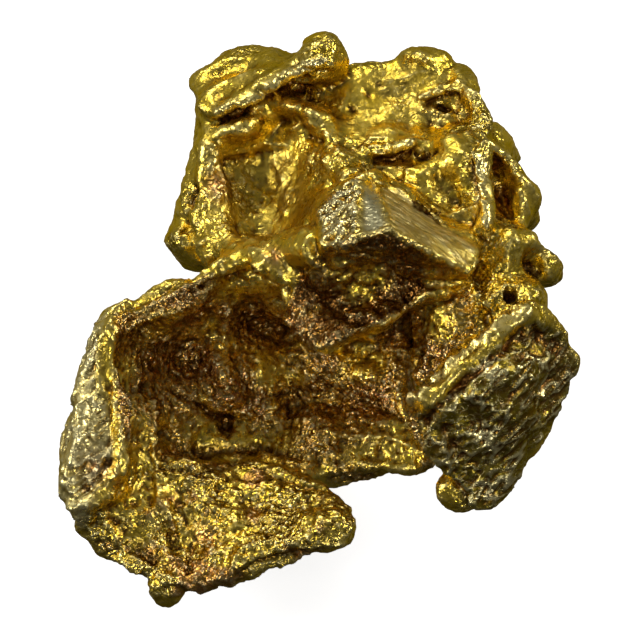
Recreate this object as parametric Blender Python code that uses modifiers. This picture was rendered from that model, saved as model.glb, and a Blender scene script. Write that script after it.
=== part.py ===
"""A natural gold nugget, 24 mm long: a thick crumpled leaf of metal with a scoop-shaped hollow, a faceted
block that overhangs it, a flat flap on the right, a folded leaf on top and a lumpy mass behind.

Every form is laid out in the nugget's front frame, in millimetres: (across, up, out), where out points
away from the front face.  The forms are fused into one body, its surface is worked, and it is then laid
down on the three points that it rests on.
"""

import math

import bmesh
import bpy
import numpy as np
from mathutils import Euler, Matrix, Vector, geometry, noise
from mathutils.bvhtree import BVHTree

MM = 0.001
NODE = "gold_nugget"

# Driving sizes, in millimetres.
WALL_THICKNESS = 1.2  # the scoop's wall
FLOOR_THICKNESS = 0.9  # the scoop's floor, thinner towards its lip
LEAF_THICKNESS = 1.0  # the folded leaf
HOLLOW_THICKNESS = 1.4  # the metal behind the upper hollow
FUSE_VOXEL = 0.16  # grid on which the overlapping forms are fused
FOOT_CUT = 0.16  # how much the contact points are worn flat
SNAP = 0.02  # corners this near to the cut go onto it
STROKE_STEP = 0.15  # spacing of the points that a stroke is drawn with
REACH = 30.0  # further out than any point of the nugget

# How the surface strays from its forms: height and spacing, in millimetres.
CRUMPLE = (0.4, 2.4)  # the broad bends of the whole body
CREASE = (0.16, 1.0)  # the short bends on top of them
SWELL = (0.2, 3.1)
DENT = (0.14, 1.3)
FLATS_SPACING = 2.6  # worn flats that meet in low ridges
FLATS_IN_FRONT = 0.2
FLATS_BEHIND = 0.5  # added on the back, which is rougher
FLATS_LEVEL = 0.45  # the cell distance at which a flat neither rises nor sinks
FLATS_WARP = 0.35  # how far the flats' edges wander

FUSE_SMOOTHING = 2  # passes that round the seams between fused forms
LUMP_GRAIN = 1.7  # how fine a lump's unevenness is, against its radius
LUMP_ROUGHNESS = 0.3  # how far a lump's corners stray from round, as a share of its radius
FACING_BIAS = 0.4  # strokes fade out where the surface turns this far past the edge of the view
TRIANGLE_BUDGET = 9600
LIE_ELEVATION = math.radians(62)  # the front face, as the nugget lies, is this far from upright

# ---- sheets: rows of a cage, from the top down ----------------------------------------------------------

SHEETS = {
    "scoop_wall": (WALL_THICKNESS, [
        [(-8.1, -0.4, 1.2), (-7.3, -0.2, 0.9), (-6.2, 0.2, 0.6), (-5.1, 0.6, 0.3), (-3.9, 1.3, 0.0),
         (-2.4, 1.9, 0.0), (-0.8, 1.7, -0.3), (1.6, 1.5, -1.0), (3.9, 1.0, -0.8)],
        [(-8.3, -1.0, 1.8), (-7.4, -0.5, -0.2), (-6.2, -0.3, -1.2), (-5.0, -0.2, -1.8), (-3.6, 0.0, -2.4),
         (-2.2, 0.0, -3.0), (-0.6, -0.1, -3.0), (1.6, -0.2, -2.4), (4.4, -0.6, -1.2)],
        [(-8.7, -2.3, 2.2), (-7.3, -2.2, 0.2), (-6.0, -2.2, -1.3), (-4.6, -2.2, -2.2), (-3.2, -2.2, -2.8),
         (-1.8, -2.2, -3.0), (-0.2, -2.2, -2.8), (1.7, -2.3, -2.2), (3.2, -2.4, -1.2)],
        [(-8.3, -4.0, 2.6), (-7.2, -4.0, 0.4), (-5.9, -4.0, -1.0), (-4.6, -4.1, -2.0), (-3.2, -4.2, -2.4),
         (-1.8, -4.2, -2.4), (-0.2, -4.2, -2.2), (1.8, -4.2, -1.8), (4.0, -4.2, -0.8)],
        [(-8.1, -5.6, 2.8), (-7.0, -5.6, 0.8), (-5.8, -5.4, -0.4), (-4.6, -5.3, -1.2), (-3.2, -5.3, -1.6),
         (-1.8, -5.3, -1.6), (-0.2, -5.2, -1.4), (1.8, -5.0, -1.0), (4.2, -4.9, -0.4)],
        [(-8.6, -7.2, 2.8), (-7.0, -7.0, 1.4), (-5.8, -6.8, 0.6), (-4.6, -6.6, 0.0), (-3.2, -6.5, -0.4),
         (-1.8, -6.4, -0.6), (0.2, -6.15, -0.6), (2.2, -5.95, -0.6), (4.5, -5.75, -0.2)],
    ]),
    "scoop_floor": (FLOOR_THICKNESS, [
        [(-8.5, -6.4, 2.6), (-7.0, -6.0, 0.9), (-5.6, -5.8, -0.2), (-4.2, -5.8, -0.8), (-2.8, -5.8, -1.0),
         (-1.4, -5.9, -0.8), (-0.4, -6.1, -0.4), (0.2, -6.3, -0.2)],
        [(-8.8, -7.6, 2.4), (-7.1, -7.3, 1.5), (-5.6, -7.1, 0.7), (-4.2, -7.0, 0.4), (-2.8, -6.9, 0.4),
         (-1.4, -6.8, 0.6), (-0.1, -6.8, 1.0), (1.0, -7.0, 1.4)],
        [(-8.2, -8.7, 2.2), (-6.9, -8.7, 1.9), (-5.5, -8.5, 1.5), (-4.2, -8.4, 1.5), (-2.8, -8.2, 1.8),
         (-1.4, -7.9, 2.2), (0.2, -7.7, 2.5), (1.6, -7.8, 2.5)],
        [(-7.9, -9.3, 2.2), (-6.8, -9.9, 2.4), (-5.5, -10.4, 2.7), (-4.3, -10.85, 3.0), (-3.2, -9.8, 3.2),
         (-2.0, -9.1, 3.4), (-0.3, -8.6, 3.4), (1.2, -8.3, 3.0)],
    ]),
    "folded_leaf": (LEAF_THICKNESS, [
        [(-5.4, 9.9, -5.2), (-4.4, 11.15, -5.6), (-2.5, 11.25, -5.4), (-1.1, 10.9, -5.0), (0.1, 11.1, -4.0)],
        [(-5.3, 9.5, -3.8), (-4.2, 10.7, -4.0), (-2.4, 10.9, -3.7), (-1.1, 10.9, -3.2), (0.1, 11.1, -2.8)],
        [(-5.0, 8.5, -2.2), (-3.9, 9.1, -1.9), (-2.4, 9.8, -1.6), (-1.1, 10.2, -1.4), (-0.1, 10.6, -1.4)],
        [(-4.6, 8.1, -2.2), (-3.5, 8.5, -1.8), (-2.2, 9.2, -1.5), (-1.1, 9.7, -1.4), (-0.1, 10.1, -1.6)],
    ]),
    "upper_hollow": (HOLLOW_THICKNESS, [
        [(-5.0, 7.6, -3.1), (-4.1, 7.4, -3.4), (-3.0, 7.4, -3.8), (-1.9, 7.6, -3.7), (-0.9, 8.0, -2.9),
         (0.1, 8.2, -2.0)],
        [(-4.8, 6.6, -2.8), (-4.0, 6.5, -3.4), (-3.0, 6.5, -4.2), (-1.9, 6.6, -4.2), (-0.8, 6.8, -3.0),
         (0.4, 7.0, -1.5)],
        [(-4.5, 5.5, -2.4), (-3.8, 5.4, -3.3), (-2.9, 5.4, -4.4), (-1.9, 5.5, -4.2), (-0.9, 5.6, -2.9),
         (0.3, 5.8, -1.0)],
        [(-4.2, 4.2, -1.8), (-3.6, 4.2, -2.8), (-2.8, 4.2, -3.6), (-1.9, 4.2, -3.3), (-1.1, 4.3, -2.2),
         (0.1, 4.5, -0.2)],
        [(-3.7, 3.0, -0.7), (-3.2, 3.0, -1.5), (-2.6, 3.1, -1.7), (-1.9, 3.1, -1.3), (-1.2, 3.1, -0.6),
         (-0.2, 3.3, 1.0)],
    ]),
}

# ---- worn lumps: centre, radii, turn in degrees ---------------------------------------------------------

LUMPS = {
    "right_of_back": ((5.7, 4.4, -3.8), (2.3, 3.8, 3.4), (0, 0, 0)),
    "under_leaf": ((-2.6, 8.7, -4.8), (2.2, 1.7, 2.2), (0, 0, 0)),
    "leaf_root": ((-0.4, 8.9, -4.9), (1.8, 1.6, 1.7), (0, 0, 0)),
    "leaf_ledge": ((-3.6, 7.7, -3.1), (1.3, 0.7, 1.1), (0, 0, 25)),
    "left_shoulder": ((-4.35, 8.1, -4.3), (0.9, 1.2, 1.8), (0, 0, 0)),
    "left_lobe": ((-4.5, 4.9, -4.9), (0.85, 1.3, 1.5), (0, 0, -14)),
    "left_lobe_foot": ((-5.2, 3.1, -4.7), (1.15, 1.3, 1.3), (0, 0, 0)),
    "left_lobe_root": ((-4.0, 4.0, -5.2), (1.8, 2.3, 1.8), (0, 0, 0)),
    "top_crest": ((4.2, 10.5, -4.6), (1.0, 0.9, 1.6), (0, 0, 0)),
    "corner_crest": ((5.55, 8.95, -4.4), (0.9, 1.1, 2.1), (0, 0, 20)),
    "right_crest": ((7.05, 6.8, -4.0), (0.9, 1.1, 2.6), (0, 0, 30)),
    "right_crest_foot": ((8.0, 4.5, -3.4), (0.85, 1.15, 2.5), (0, 0, 0)),
    "neck": ((7.3, 2.4, -1.2), (1.6, 1.9, 2.6), (0, 0, 0)),
    "side_knob": ((9.0, 2.25, -0.7), (0.85, 0.65, 1.0), (0, 0, -35)),
    "flap_root": ((7.5, 0.6, 0.6), (1.7, 1.2, 2.0), (0, 0, 0)),
    "scoop_back": ((-3.9, -2.6, -3.0), (3.3, 3.4, 1.2), (0, 0, 20)),
    "scoop_heel": ((0.3, -4.9, -2.6), (1.7, 1.4, 1.7), (0, 0, 0)),
    "scoop_back_right": ((1.0, -1.9, -3.4), (2.6, 2.9, 1.3), (0, 0, -15)),
    "waist_left": ((-1.4, 1.4, -3.8), (3.2, 2.2, 2.6), (0, 0, 0)),
    "waist_right": ((2.8, 1.2, -3.0), (3.4, 2.0, 2.8), (0, 0, 0)),
    "under_floor": ((-5.6, -7.5, -0.2), (2.4, 2.1, 1.3), (0, 0, 0)),
    "lip_nub": ((-6.1, -10.65, 1.9), (0.7, 0.75, 0.8), (0, 0, 0)),
    "flap_knob": ((5.5, -6.9, 0.9), (0.95, 0.75, 1.0), (0, 0, 0)),
    "flap_back": ((6.6, -4.2, 0.8), (1.7, 2.6, 1.4), (0, 0, -35)),
}

# ---- faceted masses: each is the hull of its corners ----------------------------------------------------

BLOCKS = {
    "upper_slope": [
        (-0.2, 8.9, -3.6), (0.9, 10.4, -4.4), (3.6, 10.6, -4.4), (5.3, 10.2, -4.4), (0.6, 7.9, -1.9),
        (0.9, 6.3, -0.8), (3.4, 6.2, 0.1), (5.5, 6.0, 0.3), (6.6, 8.3, -2.2), (6.8, 5.2, 0.2),
        (6.6, 3.0, 0.9), (1.0, 5.0, -4.0), (6.0, 4.0, -4.0), (7.0, 3.4, -1.5),
    ],
    "leaf_horn": [
        (-0.6, 10.7, -1.5), (0.05, 11.6, -2.4), (0.45, 11.4, -2.1), (0.8, 10.5, -2.6), (0.9, 9.9, -3.6),
        (-0.3, 11.4, -4.0), (-0.8, 10.6, -4.6), (0.3, 10.1, -1.3), (0.5, 9.6, -4.6), (-0.7, 10.0, -1.8),
    ],
    "block": [
        (-0.1, 4.5, 1.8), (0.15, 3.0, 4.4), (1.4, 5.85, 1.3), (2.1, 5.8, 2.1), (1.7, 2.95, 5.9),
        (2.7, 3.5, 5.6), (3.8, 3.0, 5.1), (4.9, 2.5, 4.4), (5.8, 1.95, 3.7), (6.3, 2.4, 3.0),
        (1.7, 4.3, 4.9), (6.3, 3.0, 2.0), (3.5, 5.3, 1.8), (0.4, 1.9, 2.4), (3.0, 1.8, 3.0), (5.6, 1.7, 2.2),
        (0.0, 4.2, -2.0), (3.0, 5.5, -2.0), (6.0, 3.0, -2.0), (3.0, 1.0, -2.0),
    ],
    "underside_ledge": [
        (-1.4, 0.8, 1.0), (-0.9, -0.9, 1.8), (-0.2, -1.35, 2.7), (0.8, -1.0, 2.9), (1.7, -0.55, 2.9),
        (2.5, -0.1, 2.7), (3.2, 0.3, 2.4), (4.0, 0.9, 2.3), (5.8, 1.6, 2.2), (0.4, 0.6, 2.0),
        (2.6, 1.4, 2.2), (-1.2, 2.4, 0.8), (-1.0, 0.5, -2.5), (0.5, -0.6, -2.0), (3.0, 0.2, -2.0),
        (5.5, 1.4, -2.0),
    ],
    "recess_back": [
        (-1.2, 2.2, 0.8), (0.2, 2.6, 3.2), (3.0, 2.2, 3.4), (5.6, 1.9, 2.8), (0.4, 0.4, 1.7),
        (3.2, 1.0, 1.7), (-0.8, 1.0, 1.0), (0.0, 3.0, -2.0), (5.6, 3.0, -2.0), (2.0, 0.4, -2.0),
    ],
    "neck_wall": [
        (3.8, 0.7, 0.9), (3.6, -1.4, 0.4), (4.15, -2.8, 0.8), (5.8, 1.5, 2.0), (6.4, -0.4, 2.2),
        (5.6, -2.6, 1.8), (4.4, 0.7, -1.6), (4.6, -1.8, -1.0), (7.0, 1.5, -1.0), (7.0, -1.4, 0.0),
        (4.1, -2.6, 1.5),
    ],
    "flap": [
        (4.4, -3.2, 4.4), (3.6, -3.3, 3.4), (3.55, -4.0, 3.0), (4.6, -5.9, 2.7), (5.5, -7.0, 2.5),
        (6.4, -7.75, 2.2), (7.0, -7.55, 2.1), (7.7, -6.5, 1.9), (8.35, -5.0, 1.7), (9.95, -3.1, 1.3),
        (10.5, -1.5, 1.4), (9.8, -0.3, 1.9), (8.9, 0.4, 2.8), (8.3, 0.65, 3.2), (7.6, -0.3, 4.4),
        (7.2, 0.1, 3.4), (5.4, -1.8, 4.6), (5.1, -1.4, 3.6), (8.8, -0.4, 3.6), (8.0, -3.0, 3.6),
        (6.2, -5.4, 3.2), (4.3, -3.2, 2.0), (6.6, -6.8, 1.0), (9.6, -2.6, 0.4), (8.4, -0.1, 0.6),
        (5.6, -1.8, 1.8),
    ],
    "back_slab": [
        (-0.6, 9.6, -5.0), (3.4, 9.9, -5.4), (5.6, 8.4, -5.6), (6.2, 5.2, -6.4), (4.8, 2.4, -7.4),
        (0.8, 1.4, -7.2), (-2.2, 2.6, -7.6), (-3.6, 5.4, -7.8), (-2.8, 8.2, -7.0), (0.4, 8.6, -7.6),
        (3.4, 6.8, -8.0), (-0.6, 4.8, -8.9), (2.6, 4.2, -8.8), (0.0, 2.0, -3.0), (4.0, 2.0, -3.0),
    ],
    "back_ledge": [
        (-4.4, 3.2, -6.2), (-3.2, 1.0, -6.0), (0.6, -0.2, -6.0), (3.8, 0.6, -6.2), (5.6, 2.6, -6.2),
        (3.2, 2.6, -7.6), (-0.2, 1.6, -7.4), (-3.0, 3.2, -7.4), (-2.0, 2.0, -3.0), (3.0, 2.0, -3.0),
    ],
    "foot_right": [
        (3.2, 6.4, -7.2), (5.4, 6.0, -6.6), (6.0, 4.0, -6.8), (5.0, 3.6, -8.8), (3.8, 4.4, -9.3),
        (2.6, 3.2, -7.6), (4.0, 3.0, -5.0),
    ],
    "foot_left": [
        (-4.2, 6.4, -7.4), (-2.6, 7.4, -7.6), (-1.2, 6.0, -8.2), (-2.6, 4.4, -9.4), (-3.8, 4.6, -9.0),
        (-4.4, 4.2, -7.0), (-2.6, 4.0, -5.0),
    ],
}

# ---- rims and crests: points with their radius ----------------------------------------------------------

RIMS = {
    "scoop_rim": [
        (-8.3, -0.2, 1.3, 0.35), (-7.4, 0.2, 1.1, 0.3), (-6.3, 0.55, 0.8, 0.3), (-5.2, 0.95, 0.6, 0.3),
        (-4.1, 1.7, 0.4, 0.4), (-3.1, 2.5, 0.2, 0.5), (-2.3, 2.8, 0.5, 0.55), (-1.2, 2.8, 1.4, 0.6),
        (-0.1, 3.0, 2.8, 0.7),
    ],
    "patch_under_rim": [(-2.6, 2.4, 0.9, 0.5), (-1.6, 2.2, 1.2, 0.6), (-1.0, 1.6, 1.2, 0.5)],
    "wall_outer": [
        (-8.5, -0.2, 1.0, 0.45), (-8.45, -1.0, 1.1, 0.6), (-8.75, -1.8, 1.3, 0.75), (-8.9, -3.0, 1.5, 0.9),
        (-9.1, -4.4, 1.8, 1.05), (-9.0, -5.8, 2.0, 1.1), (-9.35, -6.9, 2.0, 1.0), (-9.9, -7.5, 1.8, 0.95),
    ],
    "wall_inner": [
        (-8.3, -0.1, 1.5, 0.25), (-8.4, -1.2, 2.2, 0.3), (-8.2, -2.4, 2.6, 0.35), (-7.85, -3.5, 3.0, 0.35),
        (-7.8, -4.7, 3.2, 0.35), (-7.9, -5.7, 3.2, 0.35), (-8.4, -6.6, 3.0, 0.35), (-9.3, -7.2, 2.6, 0.4),
    ],
    "wall_web": [(-8.5, -2.5, 1.7, 0.5), (-8.45, -4.0, 2.1, 0.7), (-8.5, -5.6, 2.3, 0.65)],
    "floor_edge": [
        (-9.6, -7.9, 1.7, 0.5), (-8.55, -8.6, 1.7, 0.4), (-7.9, -9.45, 1.9, 0.35), (-6.9, -10.1, 2.2, 0.35),
    ],
    "hollow_left": [
        (-4.5, 8.0, -3.0, 0.5), (-4.4, 6.8, -2.9, 0.6), (-4.25, 5.4, -2.6, 0.6), (-4.0, 4.2, -2.0, 0.65),
        (-3.5, 3.2, -1.2, 0.6), (-3.1, 2.6, -0.2, 0.5),
    ],
    "hollow_right": [
        (-1.7, 8.8, -3.2, 0.5), (-0.6, 8.5, -2.6, 0.6), (0.4, 7.6, -2.0, 0.6), (0.9, 6.4, -1.2, 0.6),
        (1.4, 5.7, 0.2, 0.5),
    ],
    "slope_crest": [
        (4.1, 9.0, -2.6, 0.25), (4.9, 9.3, -2.4, 0.3), (5.6, 9.35, -2.3, 0.35), (6.0, 9.0, -2.1, 0.35),
        (6.3, 8.3, -1.9, 0.35), (6.5, 7.6, -1.6, 0.35),
    ],
    "slope_step": [
        (1.9, 7.1, -0.9, 0.25), (2.6, 7.0, -0.6, 0.3), (3.3, 7.1, -0.5, 0.3), (3.9, 7.1, -0.6, 0.25),
    ],
    "thin_ridge": [
        (6.3, 6.8, -0.2, 0.25), (6.45, 5.7, 0.5, 0.22), (6.55, 4.6, 0.9, 0.22), (6.55, 3.4, 1.2, 0.25),
    ],
    "outer_crest": [
        (6.5, 7.0, -1.4, 0.35), (7.3, 6.3, -1.6, 0.45), (8.0, 5.3, -1.8, 0.5), (8.3, 4.4, -2.0, 0.5),
    ],
}

# ---- worked surface: height (out is positive), width, and the path (across, up) it follows --------------

FRONT_STROKES = [
    # the valley on the upper slope and the recess under its crest
    (-0.5, 1.6, [(1.2, 8.6), (2.6, 8.8), (3.8, 8.3)]),
    (-0.55, 0.6, [(4.6, 8.5), (5.2, 8.6), (5.7, 8.3)]),
    (-0.5, 0.5, [(2.6, 6.3), (3.5, 6.4), (4.4, 6.8)]),
    (0.35, 0.6, [(1.6, 9.6), (2.6, 9.9)]),
    (0.3, 0.5, [(3.0, 8.0), (4.0, 7.8)]),
    (0.35, 0.5, [(3.6, 9.9), (4.6, 9.8)]),
    (0.3, 0.6, [(5.2, 7.0), (5.8, 6.2)]),
    (-0.4, 0.5, [(3.0, 5.6)]),
    (-0.35, 0.5, [(4.8, 5.6), (5.4, 4.8)]),
    # dents on the folded leaf
    (-0.3, 0.6, [(-4.0, 10.0), (-3.0, 10.4)]),
    (0.25, 0.4, [(-2.4, 10.6), (-1.2, 10.9)]),
    (-0.25, 0.4, [(-1.8, 10.0), (-0.9, 10.3)]),
    # the long recess beside the thin ridge
    (-0.6, 0.55, [(7.0, 6.2), (7.1, 5.2), (7.4, 4.2)]),
    # the recess under the block, between two thin edges
    (-0.5, 0.8, [(0.5, 0.6), (1.6, 1.0)]),
    (-0.8, 0.8, [(2.2, 1.6), (3.4, 1.7)]),
    # pits beside the neck and the side knob
    (-0.7, 0.45, [(7.6, 1.0)]),
    (-0.5, 0.4, [(8.3, 2.6), (8.6, 2.2)]),
    # hollows in the flap's face
    (-0.5, 0.9, [(7.8, -0.9), (9.4, -0.9)]),
    (-0.35, 0.8, [(9.6, -2.2), (8.9, -3.0)]),
    (-0.3, 0.8, [(4.8, -4.6), (5.8, -5.9)]),
    (0.25, 0.5, [(5.9, -2.9), (7.2, -2.1), (8.8, -2.0)]),
    # the scoop: a shelf, a deep pocket, a low step and the crease where its floor starts
    (-0.35, 0.7, [(-2.4, 0.0), (-1.6, -0.4)]),
    (0.5, 0.6, [(-3.9, 0.4), (-4.0, -1.0), (-3.9, -2.2)]),
    (-0.4, 0.8, [(-5.6, -1.6)]),
    (0.35, 0.6, [(-5.2, -3.0), (-4.4, -3.6)]),
    (-0.25, 0.6, [(-1.2, -3.2), (0.6, -3.4)]),
    (0.3, 0.5, [(0.6, -1.8), (2.4, -2.4)]),
    (0.3, 0.6, [(1.2, -4.4), (2.6, -4.6)]),
    (-0.3, 0.6, [(2.0, -3.2), (3.0, -3.4)]),
    (0.35, 0.5, [(-0.6, -2.2), (-0.3, -2.4)]),
    (-0.35, 0.5, [(-6.2, -4.6), (-4.9, -5.2), (-3.6, -5.5), (-2.2, -5.0)]),
    (0.4, 0.45, [(-6.9, -4.3), (-6.6, -5.6), (-6.4, -6.6), (-6.3, -7.8)]),
    (-0.4, 0.7, [(-7.4, -5.0), (-7.4, -6.6)]),
    (-0.3, 0.45, [(-8.6, -2.6), (-8.45, -4.6), (-8.5, -6.0)]),
    # swells and dents of the scoop's floor
    (0.3, 0.6, [(-4.6, -7.6), (-3.4, -8.0)]),
    (-0.3, 0.6, [(-2.4, -7.4), (-1.0, -7.3)]),
    (0.3, 0.5, [(-0.6, -8.1), (0.6, -7.9)]),
    (-0.35, 0.5, [(-5.8, -8.8)]),
    (-0.4, 0.6, [(-8.9, -5.6), (-9.0, -6.6)]),
]
BACK_STROKES = [
    # the seam between the scoop and the mass above it, and folds that run out of it
    (-0.8, 0.8, [(-5.2, 1.6), (-3.0, 0.4), (-0.4, 0.4), (2.4, -0.4), (4.4, 0.6)]),
    (-0.6, 0.6, [(-1.6, 0.2), (-1.0, -1.6)]),
    (0.5, 0.5, [(-6.4, -0.6), (-5.6, -2.6), (-5.4, -4.6)]),
    (0.4, 0.5, [(1.8, 0.0), (2.6, -2.2), (2.4, -4.4)]),
    # folds and pits of the back mass
    (-0.7, 0.7, [(-1.0, 9.2), (0.2, 7.2), (0.4, 5.6), (1.2, 3.6)]),
    (0.45, 0.5, [(1.4, 8.8), (2.0, 7.0), (1.8, 5.4)]),
    (-0.6, 0.6, [(5.6, 7.2), (4.4, 6.4), (3.2, 6.6)]),
    (-0.8, 0.55, [(-3.4, 7.6)]),
    (-0.6, 0.5, [(-0.8, 3.4)]),
    (-0.6, 0.6, [(4.0, 1.9), (5.4, 2.6)]),
]


def collection(name):
    made = bpy.data.collections.new(name)
    bpy.context.scene.collection.children.link(made)
    return made


def add_object(name, data, group):
    made = bpy.data.objects.new(name, data)
    group.objects.link(made)
    return made


def mesh_from(bm, name):
    mesh = bpy.data.meshes.new(name)
    bm.to_mesh(mesh)
    bm.free()
    return mesh


def make_sheet(name, thickness, rows, group):
    """A smooth sheet through a coarse cage of rows, thickened backwards."""
    bm = bmesh.new()
    grid = [[bm.verts.new(Vector(point) * MM) for point in row] for row in rows]
    for upper, lower in zip(grid, grid[1:]):
        for i in range(len(upper) - 1):
            bm.faces.new((upper[i], lower[i], lower[i + 1], upper[i + 1]))
    sheet = add_object(name, mesh_from(bm, name), group)
    smooth = sheet.modifiers.new("smooth", "SUBSURF")
    smooth.levels = smooth.render_levels = 2
    solid = sheet.modifiers.new("thickness", "SOLIDIFY")
    solid.thickness = thickness * MM
    solid.offset = -1
    return sheet


def make_lump(name, centre, radii, turn, group):
    """A worn lump: an icosphere whose corners are moved in and out, so that it has broad flats."""
    bm = bmesh.new()
    bmesh.ops.create_icosphere(bm, subdivisions=2, radius=1.0)
    for vert in bm.verts:
        vert.co *= 1.0 + LUMP_ROUGHNESS * noise.noise(LUMP_GRAIN * vert.co + Vector(centre))
    place = Matrix.Translation(Vector(centre) * MM)
    rotation = Euler([math.radians(angle) for angle in turn]).to_matrix().to_4x4()
    stretch = Matrix.Diagonal((*[radius * MM for radius in radii], 1))
    bm.transform(place @ rotation @ stretch)
    return add_object(name, mesh_from(bm, name), group)


def make_block(name, corners, group):
    """A faceted mass: the convex hull of its corners."""
    bm = bmesh.new()
    for corner in corners:
        bm.verts.new(Vector(corner) * MM)
    hull = bmesh.ops.convex_hull(bm, input=bm.verts)
    bmesh.ops.delete(bm, geom=list({*hull["geom_interior"], *hull["geom_unused"]}), context="VERTS")
    return add_object(name, mesh_from(bm, name), group)


def make_rim(name, points, group):
    """A rounded rim: a bevelled curve whose radius follows its points."""
    curve = bpy.data.curves.new(name, "CURVE")
    curve.dimensions = "3D"
    curve.bevel_depth = MM
    curve.bevel_resolution = 3
    curve.use_fill_caps = True
    spline = curve.splines.new("NURBS")
    spline.points.add(len(points) - 1)
    spline.use_endpoint_u = True
    spline.order_u = 3
    spline.resolution_u = 6
    for slot, (across, up, out, radius) in zip(spline.points, points):
        slot.co = (across * MM, up * MM, out * MM, 1.0)
        slot.radius = radius
    return add_object(name, curve, group)


def evaluated_mesh(obj):
    graph = bpy.context.evaluated_depsgraph_get()
    return bpy.data.meshes.new_from_object(obj.evaluated_get(graph))


def fused(objects):
    """One closed mesh around all the objects."""
    bm = bmesh.new()
    for obj in objects:
        mesh = evaluated_mesh(obj)
        bm.from_mesh(mesh)
        bpy.data.meshes.remove(mesh)
    bmesh.ops.remove_doubles(bm, verts=bm.verts, dist=1e-6)
    whole = add_object("fusing", mesh_from(bm, "fusing"), bpy.context.scene.collection)
    remesh = whole.modifiers.new("fuse", "REMESH")
    remesh.mode = "VOXEL"
    remesh.voxel_size = FUSE_VOXEL * MM
    smooth = whole.modifiers.new("round", "SMOOTH")
    smooth.factor = 0.5
    smooth.iterations = FUSE_SMOOTHING
    mesh = evaluated_mesh(whole)
    bpy.data.objects.remove(whole)
    return mesh


def arrays_of(mesh):
    """The mesh's points and normals, as rows."""
    count = len(mesh.vertices)
    points = np.empty(count * 3, np.float32)
    normals = np.empty(count * 3, np.float32)
    mesh.vertices.foreach_get("co", points)
    mesh.vertex_normals.foreach_get("vector", normals)
    return points.reshape(-1, 3).astype(float), normals.reshape(-1, 3).astype(float)


def set_points(mesh, points):
    mesh.vertices.foreach_set("co", points.astype(np.float32).ravel())
    mesh.update()


def surface_points(mesh, path, side):
    """The path, dropped on the surface from the front (side 1) or the back (side -1)."""
    tree = BVHTree.FromPolygons([v.co for v in mesh.vertices], [p.vertices for p in mesh.polygons])
    away = Vector((0.0, 0.0, side))
    found = []
    for (x0, y0), (x1, y1) in zip(path, path[1:] or path):
        steps = max(1, int(math.hypot(x1 - x0, y1 - y0) / STROKE_STEP))
        for i in range(steps + 1):
            across, up = x0 + (x1 - x0) * i / steps, y0 + (y1 - y0) * i / steps
            hit = tree.ray_cast((Vector((across, up, 0.0)) + away * REACH) * MM, -away)[0]
            if hit:
                found.append(hit)
    return np.array(found, float)


def work(mesh, strokes, side):
    """Raises or presses the surface along each stroke, by a bell of the stroke's width."""
    lines = [surface_points(mesh, path, side) for _, _, path in strokes]
    for (height, width, _), line in zip(strokes, lines):
        points, normals = arrays_of(mesh)
        near = np.full(len(points), np.inf)
        for place in line:
            near = np.minimum(near, ((points - place) ** 2).sum(1))
        bell = np.exp(-near / (width * MM) ** 2)
        facing = np.clip(normals[:, 2] * side + FACING_BIAS, 0.0, 1.0)
        set_points(mesh, points + normals * (height * MM * bell * facing)[:, None])


def drift(place):
    """A smooth vector field: one noise value for each axis."""
    return Vector([noise.noise(place + Vector((17.0 * axis, 8.0, 1.0))) for axis in range(3)])


def crumple(mesh):
    """Bends the whole body a little this way and that, so that no edge or rim runs even."""
    points, _ = arrays_of(mesh)
    moved = np.empty_like(points)
    for i, point in enumerate(points):
        place = Vector(point) / MM
        bends = [height * drift(place / spacing) for height, spacing in (CRUMPLE, CREASE)]
        moved[i] = (place + bends[0] + bends[1]) * MM
    set_points(mesh, moved)


def roughen(mesh):
    """Works the surface as wear does: broad swells, dents, and hammered flats that meet in low ridges."""
    points, normals = arrays_of(mesh)
    shift = np.empty(len(points))
    for i, point in enumerate(points):
        place = Vector(point) / MM
        swell = noise.noise(place / SWELL[1])
        dent = noise.noise(place / DENT[1] + Vector((7.0, 3.0, 5.0)))
        warped = place / FLATS_SPACING + FLATS_WARP * Vector((swell, dent, swell))
        flats = noise.voronoi(warped)[0][0] - FLATS_LEVEL
        behind = min(1.0, max(0.0, 0.5 - normals[i][2]))
        flats *= FLATS_IN_FRONT + FLATS_BEHIND * behind
        shift[i] = SWELL[0] * swell + DENT[0] * dent + flats
    set_points(mesh, points + normals * shift[:, None] * MM)


def thinned(nugget):
    """The body's mesh, thinned to the triangle budget; flats lose the most."""
    nugget.data.calc_loop_triangles()
    thin = nugget.modifiers.new("thin", "DECIMATE")
    thin.ratio = TRIANGLE_BUDGET / len(nugget.data.loop_triangles)
    mesh = evaluated_mesh(nugget)
    nugget.modifiers.remove(thin)
    drop_crumbs(mesh)
    return mesh


def drop_crumbs(mesh):
    """Keeps the largest connected piece of the mesh."""
    bm = bmesh.new()
    bm.from_mesh(mesh)
    left = set(bm.verts)
    pieces = []
    while left:
        piece = set()
        front = [left.pop()]
        while front:
            vert = front.pop()
            piece.add(vert)
            beside = {edge.other_vert(vert) for edge in vert.link_edges} & left
            left -= beside
            front += beside
        pieces.append(piece)
    largest = max(pieces, key=len)
    bmesh.ops.delete(bm, geom=[vert for vert in bm.verts if vert not in largest], context="VERTS")
    bm.to_mesh(mesh)
    bm.free()


def centre_of_mass(mesh):
    mesh.calc_loop_triangles()
    points, _ = arrays_of(mesh)
    corners = points[[triangle.vertices[:] for triangle in mesh.loop_triangles]]
    volumes = np.einsum("ij,ij->i", corners[:, 0], np.cross(corners[:, 1], corners[:, 2]))
    return Vector((corners.sum(1) * volumes[:, None]).sum(0) / volumes.sum() / 4)


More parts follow.
